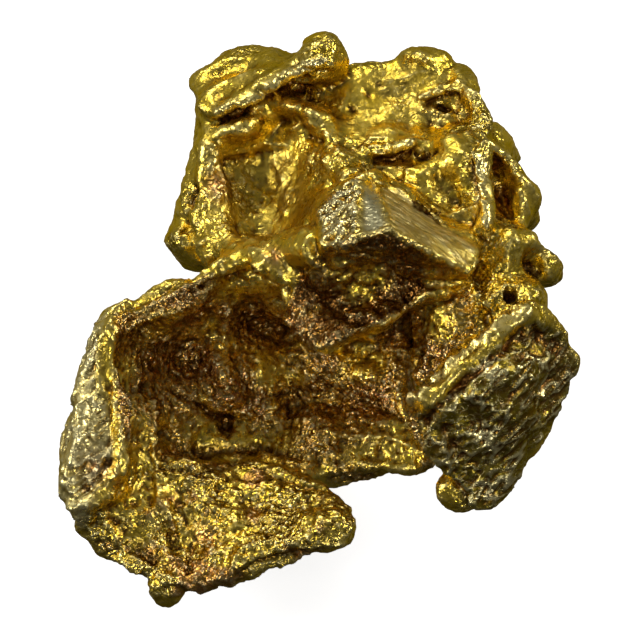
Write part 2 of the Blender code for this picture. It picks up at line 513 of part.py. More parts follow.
def resting_direction(mesh):
    """The direction, in the front frame, that points down when the nugget lies as it rests: square to the
    hull face that carries the centre of mass and is nearest to the wanted way of lying."""
    wanted = Vector((0.0, -math.cos(LIE_ELEVATION), -math.sin(LIE_ELEVATION)))
    centre = centre_of_mass(mesh)
    bm = bmesh.new()
    bm.from_mesh(mesh)
    bmesh.ops.convex_hull(bm, input=bm.verts)
    for face in bm.faces:
        if (face.calc_center_median() - centre).dot(face.normal) < 0:
            face.normal_flip()
    stable = []
    for face in bm.faces:
        corners = [vert.co for vert in face.verts]
        foot = geometry.intersect_line_plane(centre, centre + face.normal, corners[0], face.normal)
        if foot and geometry.intersect_point_tri(foot, *corners[:3]):
            stable.append(face.normal.copy())
    bm.free()
    return max(stable, key=wanted.dot)


def wear_feet(mesh, down):
    """Cuts the contact points off flat."""
    bm = bmesh.new()
    bm.from_mesh(mesh)
    lowest = max(vert.co.dot(down) for vert in bm.verts)
    everything = [*bm.verts, *bm.edges, *bm.faces]
    plane = down * (lowest - FOOT_CUT * MM)
    cut = {"plane_co": plane, "plane_no": down, "dist": SNAP * MM}
    bmesh.ops.bisect_plane(bm, geom=everything, clear_outer=True, **cut)
    rims = [edge for edge in bm.edges if edge.is_boundary]
    for vert in {vert for edge in rims for vert in edge.verts}:
        vert.co -= down * (vert.co - plane).dot(down)
    bmesh.ops.holes_fill(bm, edges=rims, sides=0)
    bmesh.ops.recalc_face_normals(bm, faces=bm.faces)
    bm.to_mesh(mesh)
    bm.free()


def lay_down(nugget, down):
    """Turns the nugget so that down is down, with its across axis along X, and sets it on the origin."""
    upward = -down
    along = (Vector((1.0, 0.0, 0.0)) - upward * upward.x).normalized()
    turn = Matrix((along, upward.cross(along), upward))
    points = arrays_of(nugget.data)[0] @ np.array(turn.transposed())
    low, high = points.min(0), points.max(0)
    place = -Vector(((low[0] + high[0]) / 2, (low[1] + high[1]) / 2, low[2]))
    nugget.matrix_world = Matrix.Translation(place) @ turn.to_4x4()


def gold():
    material = bpy.data.materials.new("gold")
    material.use_nodes = True
    surface = material.node_tree.nodes["Principled BSDF"]
    surface.inputs["Base Color"].default_value = (0.80, 0.58, 0.19, 1.0)
    surface.inputs["Metallic"].default_value = 1.0
    surface.inputs["Roughness"].default_value = 0.36
    return material


def main():
    for obj in list(bpy.data.objects):
        bpy.data.objects.remove(obj)
    forms = collection("forms")
    forms.hide_render = True
    made = [make_sheet(name, *sheet, forms) for name, sheet in SHEETS.items()]
    made += [make_lump(name, *lump, forms) for name, lump in LUMPS.items()]
    made += [make_block(name, corners, forms) for name, corners in BLOCKS.items()]
    made += [make_rim(name, points, forms) for name, points in RIMS.items()]
    mesh = fused(made)
    crumple(mesh)
    work(mesh, FRONT_STROKES, 1)
    work(mesh, BACK_STROKES, -1)
    roughen(mesh)
    for obj in made:
        bpy.data.objects.remove(obj)
    nugget = add_object(NODE, mesh, collection(NODE))
    nugget.data = thinned(nugget)
    down = resting_direction(nugget.data)
    wear_feet(nugget.data, down)
    lay_down(nugget, down)
    nugget.data.materials.append(gold())
    nugget.data.shade_smooth()


main()
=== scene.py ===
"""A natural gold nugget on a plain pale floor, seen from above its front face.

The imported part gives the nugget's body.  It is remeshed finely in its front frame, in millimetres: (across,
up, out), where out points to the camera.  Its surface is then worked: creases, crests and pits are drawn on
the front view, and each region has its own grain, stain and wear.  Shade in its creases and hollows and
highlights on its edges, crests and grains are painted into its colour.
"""

import math

import bmesh
import bpy
import numpy as np
from mathutils import Matrix, Vector, geometry
from mathutils.bvhtree import BVHTree

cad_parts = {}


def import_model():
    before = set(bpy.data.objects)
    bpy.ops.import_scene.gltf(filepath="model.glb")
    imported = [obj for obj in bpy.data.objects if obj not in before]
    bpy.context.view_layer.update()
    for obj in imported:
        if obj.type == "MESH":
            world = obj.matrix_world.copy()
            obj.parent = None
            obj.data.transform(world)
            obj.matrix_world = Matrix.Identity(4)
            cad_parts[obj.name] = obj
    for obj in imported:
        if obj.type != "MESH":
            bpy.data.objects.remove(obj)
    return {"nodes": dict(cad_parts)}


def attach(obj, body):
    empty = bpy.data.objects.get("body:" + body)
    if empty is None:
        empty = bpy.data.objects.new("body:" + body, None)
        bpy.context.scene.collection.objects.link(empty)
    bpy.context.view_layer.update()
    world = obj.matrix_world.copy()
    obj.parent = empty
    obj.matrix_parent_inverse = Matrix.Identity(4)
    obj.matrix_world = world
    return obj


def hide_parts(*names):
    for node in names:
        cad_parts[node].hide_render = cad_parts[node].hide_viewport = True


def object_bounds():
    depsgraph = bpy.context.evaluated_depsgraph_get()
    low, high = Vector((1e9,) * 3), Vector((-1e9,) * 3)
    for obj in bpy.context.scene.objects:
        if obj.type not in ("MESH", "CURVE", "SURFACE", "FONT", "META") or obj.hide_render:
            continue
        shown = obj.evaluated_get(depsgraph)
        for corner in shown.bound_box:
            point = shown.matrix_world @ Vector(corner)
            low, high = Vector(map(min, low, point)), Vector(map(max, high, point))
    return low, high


MM = 0.001

# ---- how the nugget lies, and where it is seen from ------------------------------------------------------

UPWARD = Vector((0.03727, 0.44747, 0.89352)).normalized()  # the floor's upright direction, in the front frame
PLACE = Vector((-0.0440, -0.6906, 6.0454)) * MM  # the front frame's origin, above the floor
EYE_DISTANCE = 250.0  # mm from the nugget's middle to the camera
VIEW_WIDTH = 25.6  # mm that the view takes in at the nugget's middle
GRID = 640 / VIEW_WIDTH  # the front view's drawing grid: steps to a millimetre, from its top left corner
EYE = Vector((0.0, 0.0, EYE_DISTANCE))

# ---- the light, and the paper under the nugget -----------------------------------------------------------

BRIGHT_SKY = Vector((-0.2, 0.85, 0.5))  # the way to the brightest sky
SKY_FOCUS = 1.5  # how narrow the bright sky is
SKY_GLOW = 0.175
SKY_LEVEL = 0.06  # the light from all round
SIDE_GLOW = 0.12
UNDER_LEVEL = 0.7  # the share of the sky's light that comes from below the horizon
PAPER_GLEAM = 0.3  # what the gold sees of the paper behind it
PAPER_GLOW = 0.75  # what the camera sees of the paper
PAPER_HALF = 0.6  # metres from the paper's middle to its edge

# Each softbox: its place, in metres, its width and height, and its power in watts.
SOFTBOXES = {
    "back_softbox": ((-0.10, 0.24, 0.20), 0.12, 0.09, 0.32),
    "left_softbox": ((-0.28, -0.02, 0.14), 0.05, 0.10, 0.32),
    "right_softbox": ((0.24, 0.10, 0.16), 0.045, 0.09, 0.28),
    "front_softbox": ((0.05, -0.24, 0.24), 0.04, 0.04, 0.20),
}
LIT_PLACE = (0, 0, 0.006)  # what every softbox faces
SENSOR_WIDTH = 36  # mm

# ---- the front face, drawn on the grid: x runs right and y down ------------------------------------------
#
# A facet is a flat-sided patch that the surface is drawn onto: corners (x, y, out), out in millimetres.
FACETS = {
    "grain_face": [(317, 209, 2.2), (354, 177, 1.9), (371, 175, 1.9), (362, 189, 2.9), (359, 237, 5.4),
                   (345, 249, 5.0), (322, 245, 4.2)],
    "grey_face": [(371, 175, 1.9), (378, 185, 2.3), (389, 230, 5.5), (359, 237, 5.4), (362, 189, 2.9)],
    "combed_face": [(378, 185, 2.3), (400, 188, 2.0), (425, 208, 1.8), (450, 228, 1.8), (470, 240, 2.1),
                    (479, 251, 2.6), (467, 271, 3.5), (441, 258, 4.4), (420, 247, 4.9), (389, 230, 5.5)],
    "underside": [(322, 245, 4.2), (345, 249, 5.0), (359, 237, 5.4), (389, 230, 5.5), (420, 247, 4.9),
                  (441, 258, 4.4), (467, 271, 3.5), (464, 281, 2.6), (432, 287, 2.8), (403, 275, 3.1),
                  (392, 262, 3.5), (367, 258, 3.6), (335, 266, 3.2)],
}

# A stroke raises or presses the surface along a path: kind, height and width in millimetres, path (x, y).
STROKES = [
    # the folded leaf: its rolled front edge, the slot under it, and folds that run along it
    ("bell", 0.12, 0.3, [(216, 110), (240, 99), (262, 87), (282, 74), (300, 64), (318, 58)]),
    ("bell", 0.24, 0.13, [(217, 113), (240, 103), (262, 91), (284, 77), (303, 67), (322, 62)]),
    ("crest", -0.7, 0.12, [(220, 122), (246, 109), (270, 96), (290, 84), (308, 76), (326, 72)]),
    ("crest", 0.14, 0.09, [(212, 129), (232, 120), (250, 112), (270, 101), (287, 90), (304, 83)]),
    ("bell", -0.12, 0.3, [(222, 96), (250, 81), (275, 66)]),
    ("crest", 0.1, 0.12, [(206, 94), (235, 78), (262, 70), (298, 54)]),
    ("crest", 0.12, 0.15, [(300, 56), (314, 44), (330, 40)]),
    ("bell", -0.5, 0.28, [(300, 86), (312, 95)]),
    ("bell", 0.15, 0.4, [(225, 128), (246, 132)]),
    ("crest", 0.12, 0.08, [(213, 155), (232, 153), (250, 148), (268, 143), (288, 144)]),
    ("crest", -0.12, 0.14, [(218, 163), (236, 161), (254, 155), (272, 152)]),
    ("bell", 0.14, 0.3, [(276, 158), (284, 176), (290, 196)]),
    ("crest", 0.1, 0.1, [(240, 176), (252, 190), (270, 200), (288, 214)]),
    ("crest", 0.22, 0.14, [(286, 103), (300, 107), (314, 114), (325, 128), (333, 142), (338, 153)]),
    ("bell", 0.18, 0.22, [(316, 150), (311, 163), (326, 160)]),
    ("bell", -0.2, 0.14, [(309, 138), (323, 142)]),
    ("crest", 0.14, 0.1, [(292, 130), (304, 122), (318, 125), (326, 134)]),
    ("bell", 0.3, 0.35, [(212, 146), (214, 172), (220, 200)]),
    ("bell", -0.25, 0.3, [(196, 190), (190, 204)]),
    ("bell", -0.2, 0.25, [(185, 231)]),
    ("crest", 0.12, 0.15, [(178, 214), (195, 212), (208, 204)]),
    ("crest", 0.12, 0.15, [(180, 247), (200, 244), (216, 236)]),
    # the upper slope: its valley, two ledges with hollows under them, and pits
    ("bell", -0.2, 0.8, [(360, 85), (400, 82)]),
    ("crest", 0.14, 0.13, [(386, 82), (408, 76), (424, 71)]),
    ("bell", 0.14, 0.22, [(384, 88), (395, 91)]),
    ("bell", -0.25, 0.18, [(368, 92)]),
    ("bell", -0.2, 0.2, [(350, 108)]),
    ("bell", 0.4, 0.35, [(428, 112), (444, 122), (462, 118)]),
    ("crest", 0.3, 0.15, [(423, 98), (440, 90), (459, 84), (470, 92), (479, 104)]),
    ("crest", -0.4, 0.16, [(428, 103), (444, 97), (460, 93)]),
    ("bell", -0.35, 0.15, [(440, 109), (447, 110)]),
    ("bell", -0.15, 0.15, [(441, 127)]),
    ("bell", 0.26, 0.2, [(380, 152), (395, 148), (413, 142)]),
    ("crest", 0.14, 0.1, [(362, 147), (370, 140), (388, 138)]),
    ("crest", -0.4, 0.16, [(378, 163), (392, 158), (408, 153), (422, 156), (436, 151)]),
    ("crest", 0.16, 0.1, [(342, 180), (357, 171), (375, 166), (395, 167), (408, 171)]),
    ("crest", -0.3, 0.13, [(391, 183), (400, 178)]),
    ("crest", -0.32, 0.12, [(405, 188), (422, 205), (432, 214), (441, 220), (454, 224)]),
    ("crest", 0.16, 0.1, [(412, 190), (424, 201), (436, 211), (447, 217), (459, 214), (470, 208), (484, 204)]),
    ("crest", 0.38, 0.11, [(477, 157), (480, 175), (483, 190), (486, 206), (485, 236)]),
    ("crest", -0.25, 0.12, [(472, 162), (475, 178), (480, 198)]),
    ("crest", 0.2, 0.12, [(463, 154), (470, 160), (478, 156)]),
    ("crest", 0.16, 0.12, [(466, 134), (476, 130), (484, 141), (480, 152)]),
    ("bell", -0.35, 0.3, [(492, 158), (494, 175), (500, 195), (508, 212), (512, 226)]),
    ("crest", 0.2, 0.16, [(486, 142), (500, 152), (512, 166), (525, 183), (535, 196)]),
    ("crest", 0.14, 0.12, [(506, 172), (514, 186), (524, 200), (528, 212)]),
    # the block's edges
    ("crest", 0.1, 0.07, [(362, 189), (361, 215), (360, 236)]),
    ("crest", 0.12, 0.07, [(376, 184), (383, 205), (390, 229)]),
    ("crest", 0.2, 0.09, [(322, 245), (345, 249), (359, 237), (389, 230), (420, 247), (441, 258), (467, 271)]),
    ("crest", 0.12, 0.09, [(322, 245), (314, 226), (318, 208), (335, 192), (354, 177), (371, 175)]),
    # under the block: two thin edges and the recesses between them
    ("crest", 0.16, 0.07, [(335, 266), (348, 260), (367, 257), (392, 261), (403, 274), (418, 282), (432, 286),
                           (464, 280)]),
    ("bell", -0.12, 0.5, [(385, 278)]),
    ("crest", 0.2, 0.12, [(338, 301), (350, 305), (360, 300)]),
    ("bell", -0.4, 0.28, [(330, 304), (345, 316), (366, 320)]),
    ("crest", 0.18, 0.08, [(298, 343), (314, 355), (339, 346), (362, 334), (382, 324), (399, 313), (420, 299),
                           (442, 288), (464, 280)]),
    ("crest", 0.1, 0.07, [(384, 306), (398, 314)]),
    ("bell", 0.16, 0.24, [(311, 322), (316, 337)]),
    ("crest", 0.2, 0.1, [(283, 306), (290, 320), (298, 334)]),
    ("crest", -0.7, 0.18, [(406, 300), (411, 318), (414, 338), (418, 352)]),
    ("crest", -0.3, 0.12, [(392, 322), (405, 330), (412, 342)]),
    # the neck, its pit and its knob
    ("crest", 0.12, 0.09, [(458, 291), (474, 296), (490, 306), (496, 316)]),
    ("bell", -0.5, 0.22, [(510, 296)]),
    ("crest", 0.2, 0.09, [(501, 302), (500, 292), (508, 285), (518, 288), (521, 298)]),
    ("crest", 0.16, 0.12, [(518, 241), (535, 244), (550, 254), (560, 266)]),
    ("bell", -0.3, 0.2, [(524, 263), (536, 272)]),
    # the flap: its rolled edge, the hollow at its top and the folds on its face
    ("crest", 0.15, 0.1, [(414, 393), (430, 375), (447, 355), (467, 341), (497, 317), (528, 303), (542, 308)]),
    ("bell", 0.28, 0.24, [(412, 400), (424, 396), (440, 377), (456, 362), (470, 351), (499, 327), (526, 311)]),
    ("bell", -0.3, 0.2, [(426, 422), (446, 400), (468, 378), (492, 360), (514, 342), (532, 328)]),
    ("bell", -0.28, 0.32, [(525, 334), (545, 338), (560, 350)]),
    ("crest", 0.16, 0.09, [(500, 383), (518, 370), (535, 361), (553, 357), (563, 345)]),
    ("crest", 0.14, 0.09, [(462, 402), (476, 390), (490, 386)]),
    ("crest", 0.14, 0.09, [(487, 424), (505, 408), (520, 392), (533, 374)]),
    ("crest", 0.14, 0.09, [(470, 452), (492, 440), (512, 420), (530, 404), (556, 384)]),
    ("crest", 0.14, 0.09, [(478, 490), (486, 470), (504, 452), (530, 430), (556, 404)]),
    ("bell", -0.2, 0.3, [(446, 430), (456, 450)]),
    ("bell", -0.15, 0.25, [(536, 392), (548, 376)]),
    ("crest", 0.12, 0.08, [(409, 404), (413, 426), (425, 450), (440, 471), (458, 493), (475, 504)]),
    # the left wall: a thin inner crest, a slit behind it and a worn outer lip
    ("crest", 0.25, 0.1, [(114, 314), (104, 338), (98, 362), (103, 392), (116, 406), (123, 420), (120, 454),
                          (116, 475), (94, 496), (74, 509)]),
    ("crest", 0.2, 0.12, [(132, 366), (137, 383), (133, 407)]),
    ("bell", -0.25, 0.28, [(106, 462), (98, 478), (90, 490)]),
    ("crest", 0.12, 0.12, [(92, 336), (88, 372), (80, 400), (78, 430), (70, 462)]),
    ("bell", 0.1, 0.3, [(72, 505)]),
    # the scoop's rim, and the shelf, hole, ridge and pocket inside it
    ("crest", 0.22, 0.11, [(110, 312), (133, 300), (163, 291), (190, 281), (210, 270), (224, 260)]),
    ("bell", -0.3, 0.26, [(124, 322), (152, 308), (186, 296), (214, 282), (236, 276)]),
    ("bell", 0.12, 0.25, [(252, 250), (276, 264)]),
    ("crest", 0.14, 0.1, [(232, 246), (245, 240), (262, 243), (280, 256), (288, 268)]),
    ("bell", -0.4, 0.2, [(286, 289)]),
    ("bell", 0.14, 0.22, [(228, 306), (222, 330), (212, 362)]),
    ("bell", -0.35, 0.45, [(258, 325), (280, 330)]),
    ("bell", 0.2, 0.14, [(309, 375)]),
    ("bell", -0.2, 0.3, [(165, 456), (210, 450), (260, 448), (300, 456)]),
    ("crest", 0.28, 0.1, [(151, 400), (152, 424), (151, 448), (157, 465), (159, 502), (173, 530)]),
    ("crest", -0.3, 0.12, [(160, 466), (197, 475), (222, 468), (246, 461), (268, 474), (299, 484), (330, 489)]),
    ("crest", -0.35, 0.12, [(176, 393), (204, 407), (221, 427)]),
    ("bell", -0.35, 0.2, [(216, 418), (230, 420), (226, 432)]),
    ("bell", 0.2, 0.14, [(266, 410), (276, 407)]),
    ("crest", 0.16, 0.12, [(196, 330), (206, 352), (204, 380)]),
    ("crest", -0.25, 0.12, [(238, 372), (254, 392), (276, 396), (300, 390)]),
    ("crest", 0.18, 0.12, [(232, 395), (250, 414), (284, 424), (318, 418)]),
    ("crest", -0.25, 0.12, [(320, 380), (345, 398), (378, 404), (402, 420)]),
    ("crest", 0.2, 0.12, [(330, 432), (356, 440), (384, 436), (410, 446)]),
    ("bell", -0.25, 0.2, [(140, 330), (152, 322), (166, 326)]),
    ("crest", 0.18, 0.12, [(128, 338), (150, 342), (176, 330), (198, 312)]),
    # the floor's lip
    ("crest", 0.12, 0.14, [(330, 489), (345, 503), (353, 520), (344, 540)]),
    ("crest", 0.25, 0.12, [(231, 571), (245, 551), (272, 542), (313, 544), (344, 540)]),
    ("crest", -0.35, 0.14, [(238, 575), (260, 561), (290, 555), (322, 553)]),
    ("crest", 0.2, 0.12, [(104, 516), (125, 554), (162, 575), (197, 588), (214, 592)]),
    ("bell", -0.2, 0.35, [(112, 512), (132, 548), (166, 566)]),
    ("bell", 0.15, 0.25, [(150, 520), (166, 548)]),
    ("bell", 0.12, 0.25, [(204, 524), (211, 554)]),
    ("crest", -0.25, 0.12, [(184, 516), (192, 545), (188, 572)]),
    ("crest", -0.22, 0.12, [(318, 506), (334, 524), (322, 536)]),
    ("bell", -0.3, 0.14, [(166, 591)]),
]

# The CAD's hard-sided hollows that the real metal rounds off: outlines (x, y).
ROUNDED = {
    "upper_hollow": [(212, 140), (250, 134), (296, 138), (316, 175), (314, 205), (304, 222), (286, 250),
                     (250, 262), (216, 256), (200, 225), (200, 180)],
    "wall_slit": [(98, 340), (120, 346), (130, 400), (130, 450), (120, 492), (92, 500), (86, 420)],
}

# A region of the front face has its own grain, stain and polish, and some take painted shade and painted
# highlight: its outline (x, y).
REGIONS = {
    "scoop": [(113, 314), (150, 302), (205, 274), (236, 262), (286, 268), (300, 345), (340, 352), (400, 315),
              (412, 300), (470, 285), (480, 330), (416, 390), (437, 470), (366, 481), (330, 485), (300, 472),
              (250, 457), (190, 464), (150, 457), (122, 440), (112, 380)],
    "under_block": [(325, 247), (357, 238), (388, 231), (441, 260), (468, 274), (410, 302), (399, 313),
                    (339, 346), (312, 354), (296, 342), (288, 300), (304, 262)],
    "floor": [(120, 470), (150, 457), (190, 464), (250, 457), (300, 472), (350, 505), (358, 521), (338, 545),
              (303, 560), (265, 578), (205, 596), (150, 600), (84, 532), (84, 506), (112, 486)],
    "flap": [(415, 412), (440, 402), (458, 376), (505, 336), (535, 316), (562, 330), (580, 360), (572, 400),
             (545, 435), (515, 488), (490, 512), (470, 508), (428, 458)],
    "grain_face": [(317, 209), (354, 177), (371, 175), (362, 189), (361, 237), (345, 250), (322, 246)],
    "grey_face": [(362, 189), (376, 184), (389, 230), (361, 237)],
    "combed_face": [(378, 185), (400, 188), (425, 208), (450, 228), (470, 240), (479, 251), (467, 271),
                    (389, 230)],
    "upper_hollow": [(214, 148), (250, 142), (292, 144), (306, 175), (306, 205), (284, 236), (250, 246),
                     (224, 244), (208, 215), (206, 180)],
    "neck": [(410, 300), (440, 288), (470, 272), (490, 240), (520, 240), (545, 290), (535, 312), (500, 318),
             (450, 352), (420, 390), (412, 350)],
    # bands painted pale as highlight: the leaf's rolled edge, the flap's top band and the ridge
    "highlit_leaf_edge": [(213, 108), (240, 97), (262, 84), (282, 71), (302, 60), (326, 55), (329, 68), (292, 81),
                  (268, 95), (246, 107), (218, 120)],
    "highlit_flap_band": [(408, 398), (424, 378), (440, 361), (462, 345), (494, 319), (522, 305), (538, 311),
                  (500, 334), (470, 357), (440, 385), (420, 404)],
    "highlit_ridge": [(470, 154), (488, 154), (493, 238), (478, 240)],
    "slope": [(332, 78), (400, 64), (440, 72), (444, 96), (420, 112), (404, 140), (362, 140), (336, 130)],
    "smooth_lip": [(122, 486), (150, 470), (182, 492), (203, 540), (192, 584), (140, 560), (100, 520)],
    "outer_wall": [(112, 306), (90, 324), (74, 386), (60, 440), (58, 500), (81, 532), (98, 500), (108, 480),
                   (116, 450), (110, 410), (98, 380), (104, 340)],
}

# Places with a reddish stain: x, y, radius.
SPOTS = [(275, 256, 10), (96, 468, 16), (205, 537, 13), (330, 252, 7), (442, 270, 8), (358, 336, 8),
         (437, 445, 10), (216, 185, 14), (150, 552, 9), (240, 574, 8)]

COMB_SLANT = math.radians(-29.0)  # the way the block's fine lines run, in the front view
FOLD_SLANT = math.radians(31.0)  # the way the flap's threads run

# ---- the body --------------------------------------------------------------------------------------------

# Lengths here are in millimetres, and roundings are in smoothing passes.
COARSE_VOXEL = 0.12
FINE_VOXEL = 0.085
FACET_ROUNDING = 6
HOLLOW_ROUNDING = 400
BACK_ROUNDING = 25
REGION_ROUNDING = 3
HIDDEN_ROUNDING = 8
REGION_EDGE = 0.15  # the width over which a region fades in
HIDDEN_DEPTH = 0.12  # a point this far behind the first surface that the eye meets is hidden
STROKE_STEP = 1.5  # grid steps between the points of a stroke
STROKE_REACH = 4  # a stroke ends this many widths from its path
WANDER = 0.08  # how far a stroke strays from its path
WANDER_SIZE = 0.5
WANDER_SEEDS = (101, 111, 121)
SWELL_SIZE = 0.35  # the length over which a thin stroke swells and fades
SWELL_SEED = 131
BROAD = 0.4  # a wider stroke only shapes the surface
FULL_HEIGHT = 0.3  # a stroke this high is fully worn pale with painted highlight, and one sunk this far takes full painted shade
TRIANGLES = 195000

# ---- the grain and the finish ----------------------------------------------------------------------------

OCTAVE_STEP = 2.03  # how much finer each octave of noise is
OCTAVE_FADE = 1.8  # how much weaker each octave of noise is
HASH_PRIMES = np.array([73856093, 19349663, 83492791], np.uint64)
SEED_PRIME = 2654435761
MIXING_PRIME = np.uint64(1274126177)
HASH_TOP = 0xFFFFFF

# Each texture: its size in millimetres (along each of its axes, where it is drawn out), octaves and seed.
TEXTURES = {
    "plain": (0.6, 4, 11),
    "crumple": (0.9, 2, 21),
    "fine_crumple": (0.4, 2, 25),
    "worms": (0.4, 2, 31),
    "lines": ((1.8, 0.16, 0.3), 2, 41),
    "folds": ((1.5, 0.34, 0.45), 2, 51),
    "grit": (0.22, 2, 61),
    "patches": (1.6, 3, 71),
    "red_patches": (1.3, 2, 81),
}
LINE_AXES = np.array([[0.74, -0.66, 0.0], [0.5, 0.5, 0.4], [0.3, 0.3, -0.9]])
FOLD_AXES = np.array([[0.66, 0.74, 0.0], [0.7, -0.6, 0.2], [0.1, 0.2, 0.9]])

# How high each texture stands, in millimetres.
PLAIN_HEIGHT = 0.04
CRUMPLE_HEIGHT = 0.06
GRITTY_CRUMPLE = 0.07  # what gritty regions add
WORM_HEIGHT = 0.18
FAINT_WORM = 0.03
LINE_HEIGHT = 0.07
FOLD_HEIGHT = 0.13
GRIT_HEIGHT = 0.02
GRITTY_GRIT = 0.05
PIT_DEPTH = 0.32
PIT_SPACING = 1.5
PIT_SIZE = 0.17  # in pit spacings
PIT_SEED = 141

# How far the surface lies from its own mean, over this many smoothing passes, where a crease is full, in mm.
CLOSE_PASSES, CLOSE_DEPTH = 4, 0.02
BROAD_PASSES, BROAD_DEPTH = 50, 0.12

SPOT_STAIN = 0.8  # how much stain a spot takes
CREST_WEAR_AND_HIGHLIGHT = 0.45  # how pale a raised stroke is worn and painted as highlight
CREST_CLEAN = 0.4  # how much grit a crest loses
CREASE_SHADE = 0.75  # how dark the painted shade in a sunk stroke is

# The regions that take each finish, and how strongly.
SHARES = {
    "folded": {"flap": 1, "outer_wall": 0.8},
    "smooth": {"grey_face": 1, "combed_face": 1, "smooth_lip": 1},
    "gritty": {"scoop": 1, "floor": 1, "under_block": 1, "grain_face": 1, "neck": 1},
    "threads": {"flap": 1, "outer_wall": 0.6},
    # pale: worn pale metal, with painted highlight and painted reflection of the paper where faces catch the
    # light
    "pale_wear_and_highlight": {"outer_wall": 0.9, "combed_face": 0.5, "grain_face": 0.6, "highlit_leaf_edge": 0.9, "highlit_flap_band": 0.9,
             "highlit_ridge": 0.9},
    "satin": {"upper_hollow": 0.25, "slope": 0.4, "combed_face": 0.65},
}

COLOURS = {
    "gold": (0.78, 0.53, 0.04),
    "bright_gold": (0.82, 0.60, 0.10),
    "grey": (0.66, 0.60, 0.33),
    # worn pale metal and painted highlight
    "pale_wear_and_highlight": (0.93, 0.79, 0.36),
    # real reddish stain, and painted shade in the scoop and under the block
    "stain_and_shade": (0.44, 0.16, 0.05),
    # the flap's dark olive: patina, and painted shade of a face turned from the light
    "patina_and_shade": (0.19, 0.145, 0.010),
    # painted shade between the grains
    "painted_pit_shade": (0.15, 0.085, 0.01),
    # painted shade in concave places
    "painted_crease_shade": (0.20, 0.125, 0.02),
    # painted glints on the tops of grains
    "painted_glint": (0.92, 0.80, 0.40),
    # pale on the tops of the grain's folds, worms and lines: painted highlight, with some wear
    "crest": (0.93, 0.82, 0.45),
    "comb": (0.42, 0.28, 0.04),
    # painted highlight on the flap's thin folds
    "painted_thread_highlight": (0.90, 0.78, 0.38),
    # painted shade under the block, in hollows, in sunk strokes and in the flap's recesses
    "deep": (0.16, 0.07, 0.015),
    # pale on convex edges: wear and painted highlight
    "edge": (0.95, 0.82, 0.36),
}
GLANCING_TINT = (0.90, 0.74, 0.30, 1)
BUMP_DEPTH = 0.00005  # metres

# Cycles to a millimetre of each pattern in the finish.
CLOUD_SCALE = 1.1
SPECK_SCALE = 5.5
FLAKE_SCALE = 4.8
STIR_SCALE = 3.0
FINE_SCALE = 11.0
COMB_SCALE, COMB_STRETCH = 5.0, 0.08
THREADS = ((1.1, 0.012), (2.6, 0.014))  # the scale and width of each web of threads
THREAD_STRETCH = 0.6


def front_to_world():
    """The matrix that lays the nugget down: its across axis runs along X."""
    along = (Vector((1.0, 0.0, 0.0)) - UPWARD * UPWARD.x).normalized()
    turn = Matrix((along, UPWARD.cross(along), UPWARD))
    return Matrix.Translation(PLACE) @ turn.to_4x4()


def evened(mesh, voxel, passes):
    """The mesh remeshed on an even grid, and smoothed a little."""
    body = bpy.data.objects.new("body", mesh)
    bpy.context.scene.collection.objects.link(body)
    remesh = body.modifiers.new("even", "REMESH")
    remesh.mode = "VOXEL"
    remesh.voxel_size = voxel
    smooth = body.modifiers.new("round", "SMOOTH")
    smooth.factor = 0.5
    smooth.iterations = passes
    graph = bpy.context.evaluated_depsgraph_get()
    fine = bpy.data.meshes.new_from_object(body.evaluated_get(graph))
    bpy.data.objects.remove(body)
    return fine


def body_from(cad):
    """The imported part's body as a fine even mesh, in the front frame, in millimetres."""
    bm = bmesh.new()
    bm.from_mesh(cad.data)
    bm.transform(Matrix.Scale(1 / MM, 4) @ front_to_world().inverted())
    bmesh.ops.remove_doubles(bm, verts=bm.verts, dist=1e-4)
    mesh = bpy.data.meshes.new("body")
    bm.to_mesh(mesh)
    bm.free()
    return evened(mesh, COARSE_VOXEL, FACET_ROUNDING)


def points_of(mesh):
    """The mesh's vertices, one to a row."""
    rows = np.empty(len(mesh.vertices) * 3, np.float32)
    mesh.vertices.foreach_get("co", rows)
    return rows.reshape(-1, 3).astype(float)


def normals_of(mesh):
    """The mesh's vertex normals, one to a row."""
    rows = np.empty(len(mesh.vertices) * 3, np.float32)
    mesh.vertex_normals.foreach_get("vector", rows)
    return rows.reshape(-1, 3).astype(float)


def set_points(mesh, points):
    """Moves the mesh's vertices to the points."""
    mesh.vertices.foreach_set("co", points.astype(np.float32).ravel())
    mesh.update()


def edges_of(mesh):
    """The two vertices of each edge of the mesh."""
    rows = np.empty(len(mesh.edges) * 2, np.int32)
    mesh.edges.foreach_get("vertices", rows)
    return rows.reshape(-1, 2)


def averaged(values, edges, passes):
    """Values at the vertices, each moved towards the mean of its neighbours, passes times."""
    count = np.bincount(edges.ravel(), minlength=len(values))[:, None]
    for _ in range(passes):
        total = np.zeros_like(values)
        for axis in range(values.shape[1]):
            total[:, axis] += np.bincount(edges[:, 0], values[edges[:, 1], axis], len(values))
            total[:, axis] += np.bincount(edges[:, 1], values[edges[:, 0], axis], len(values))
        values = 0.5 * values + 0.5 * total / count
    return values


def seen_at(points):
    """Where each point lies on the drawing grid."""
    scale = GRID * EYE_DISTANCE / (EYE_DISTANCE - points[:, 2:3])
    middle = GRID * VIEW_WIDTH / 2
    return middle + points[:, :2] * scale * (1, -1)


def sight_line(x, y):
    """The direction from the eye through a place on the grid."""
    middle = GRID * VIEW_WIDTH / 2
    return Vector(((x - middle) / GRID, (middle - y) / GRID, -EYE_DISTANCE)).normalized()


def tree_of(mesh):
    """The mesh as a tree that rays are cast at."""
    return BVHTree.FromPolygons([v.co for v in mesh.vertices], [p.vertices for p in mesh.polygons])


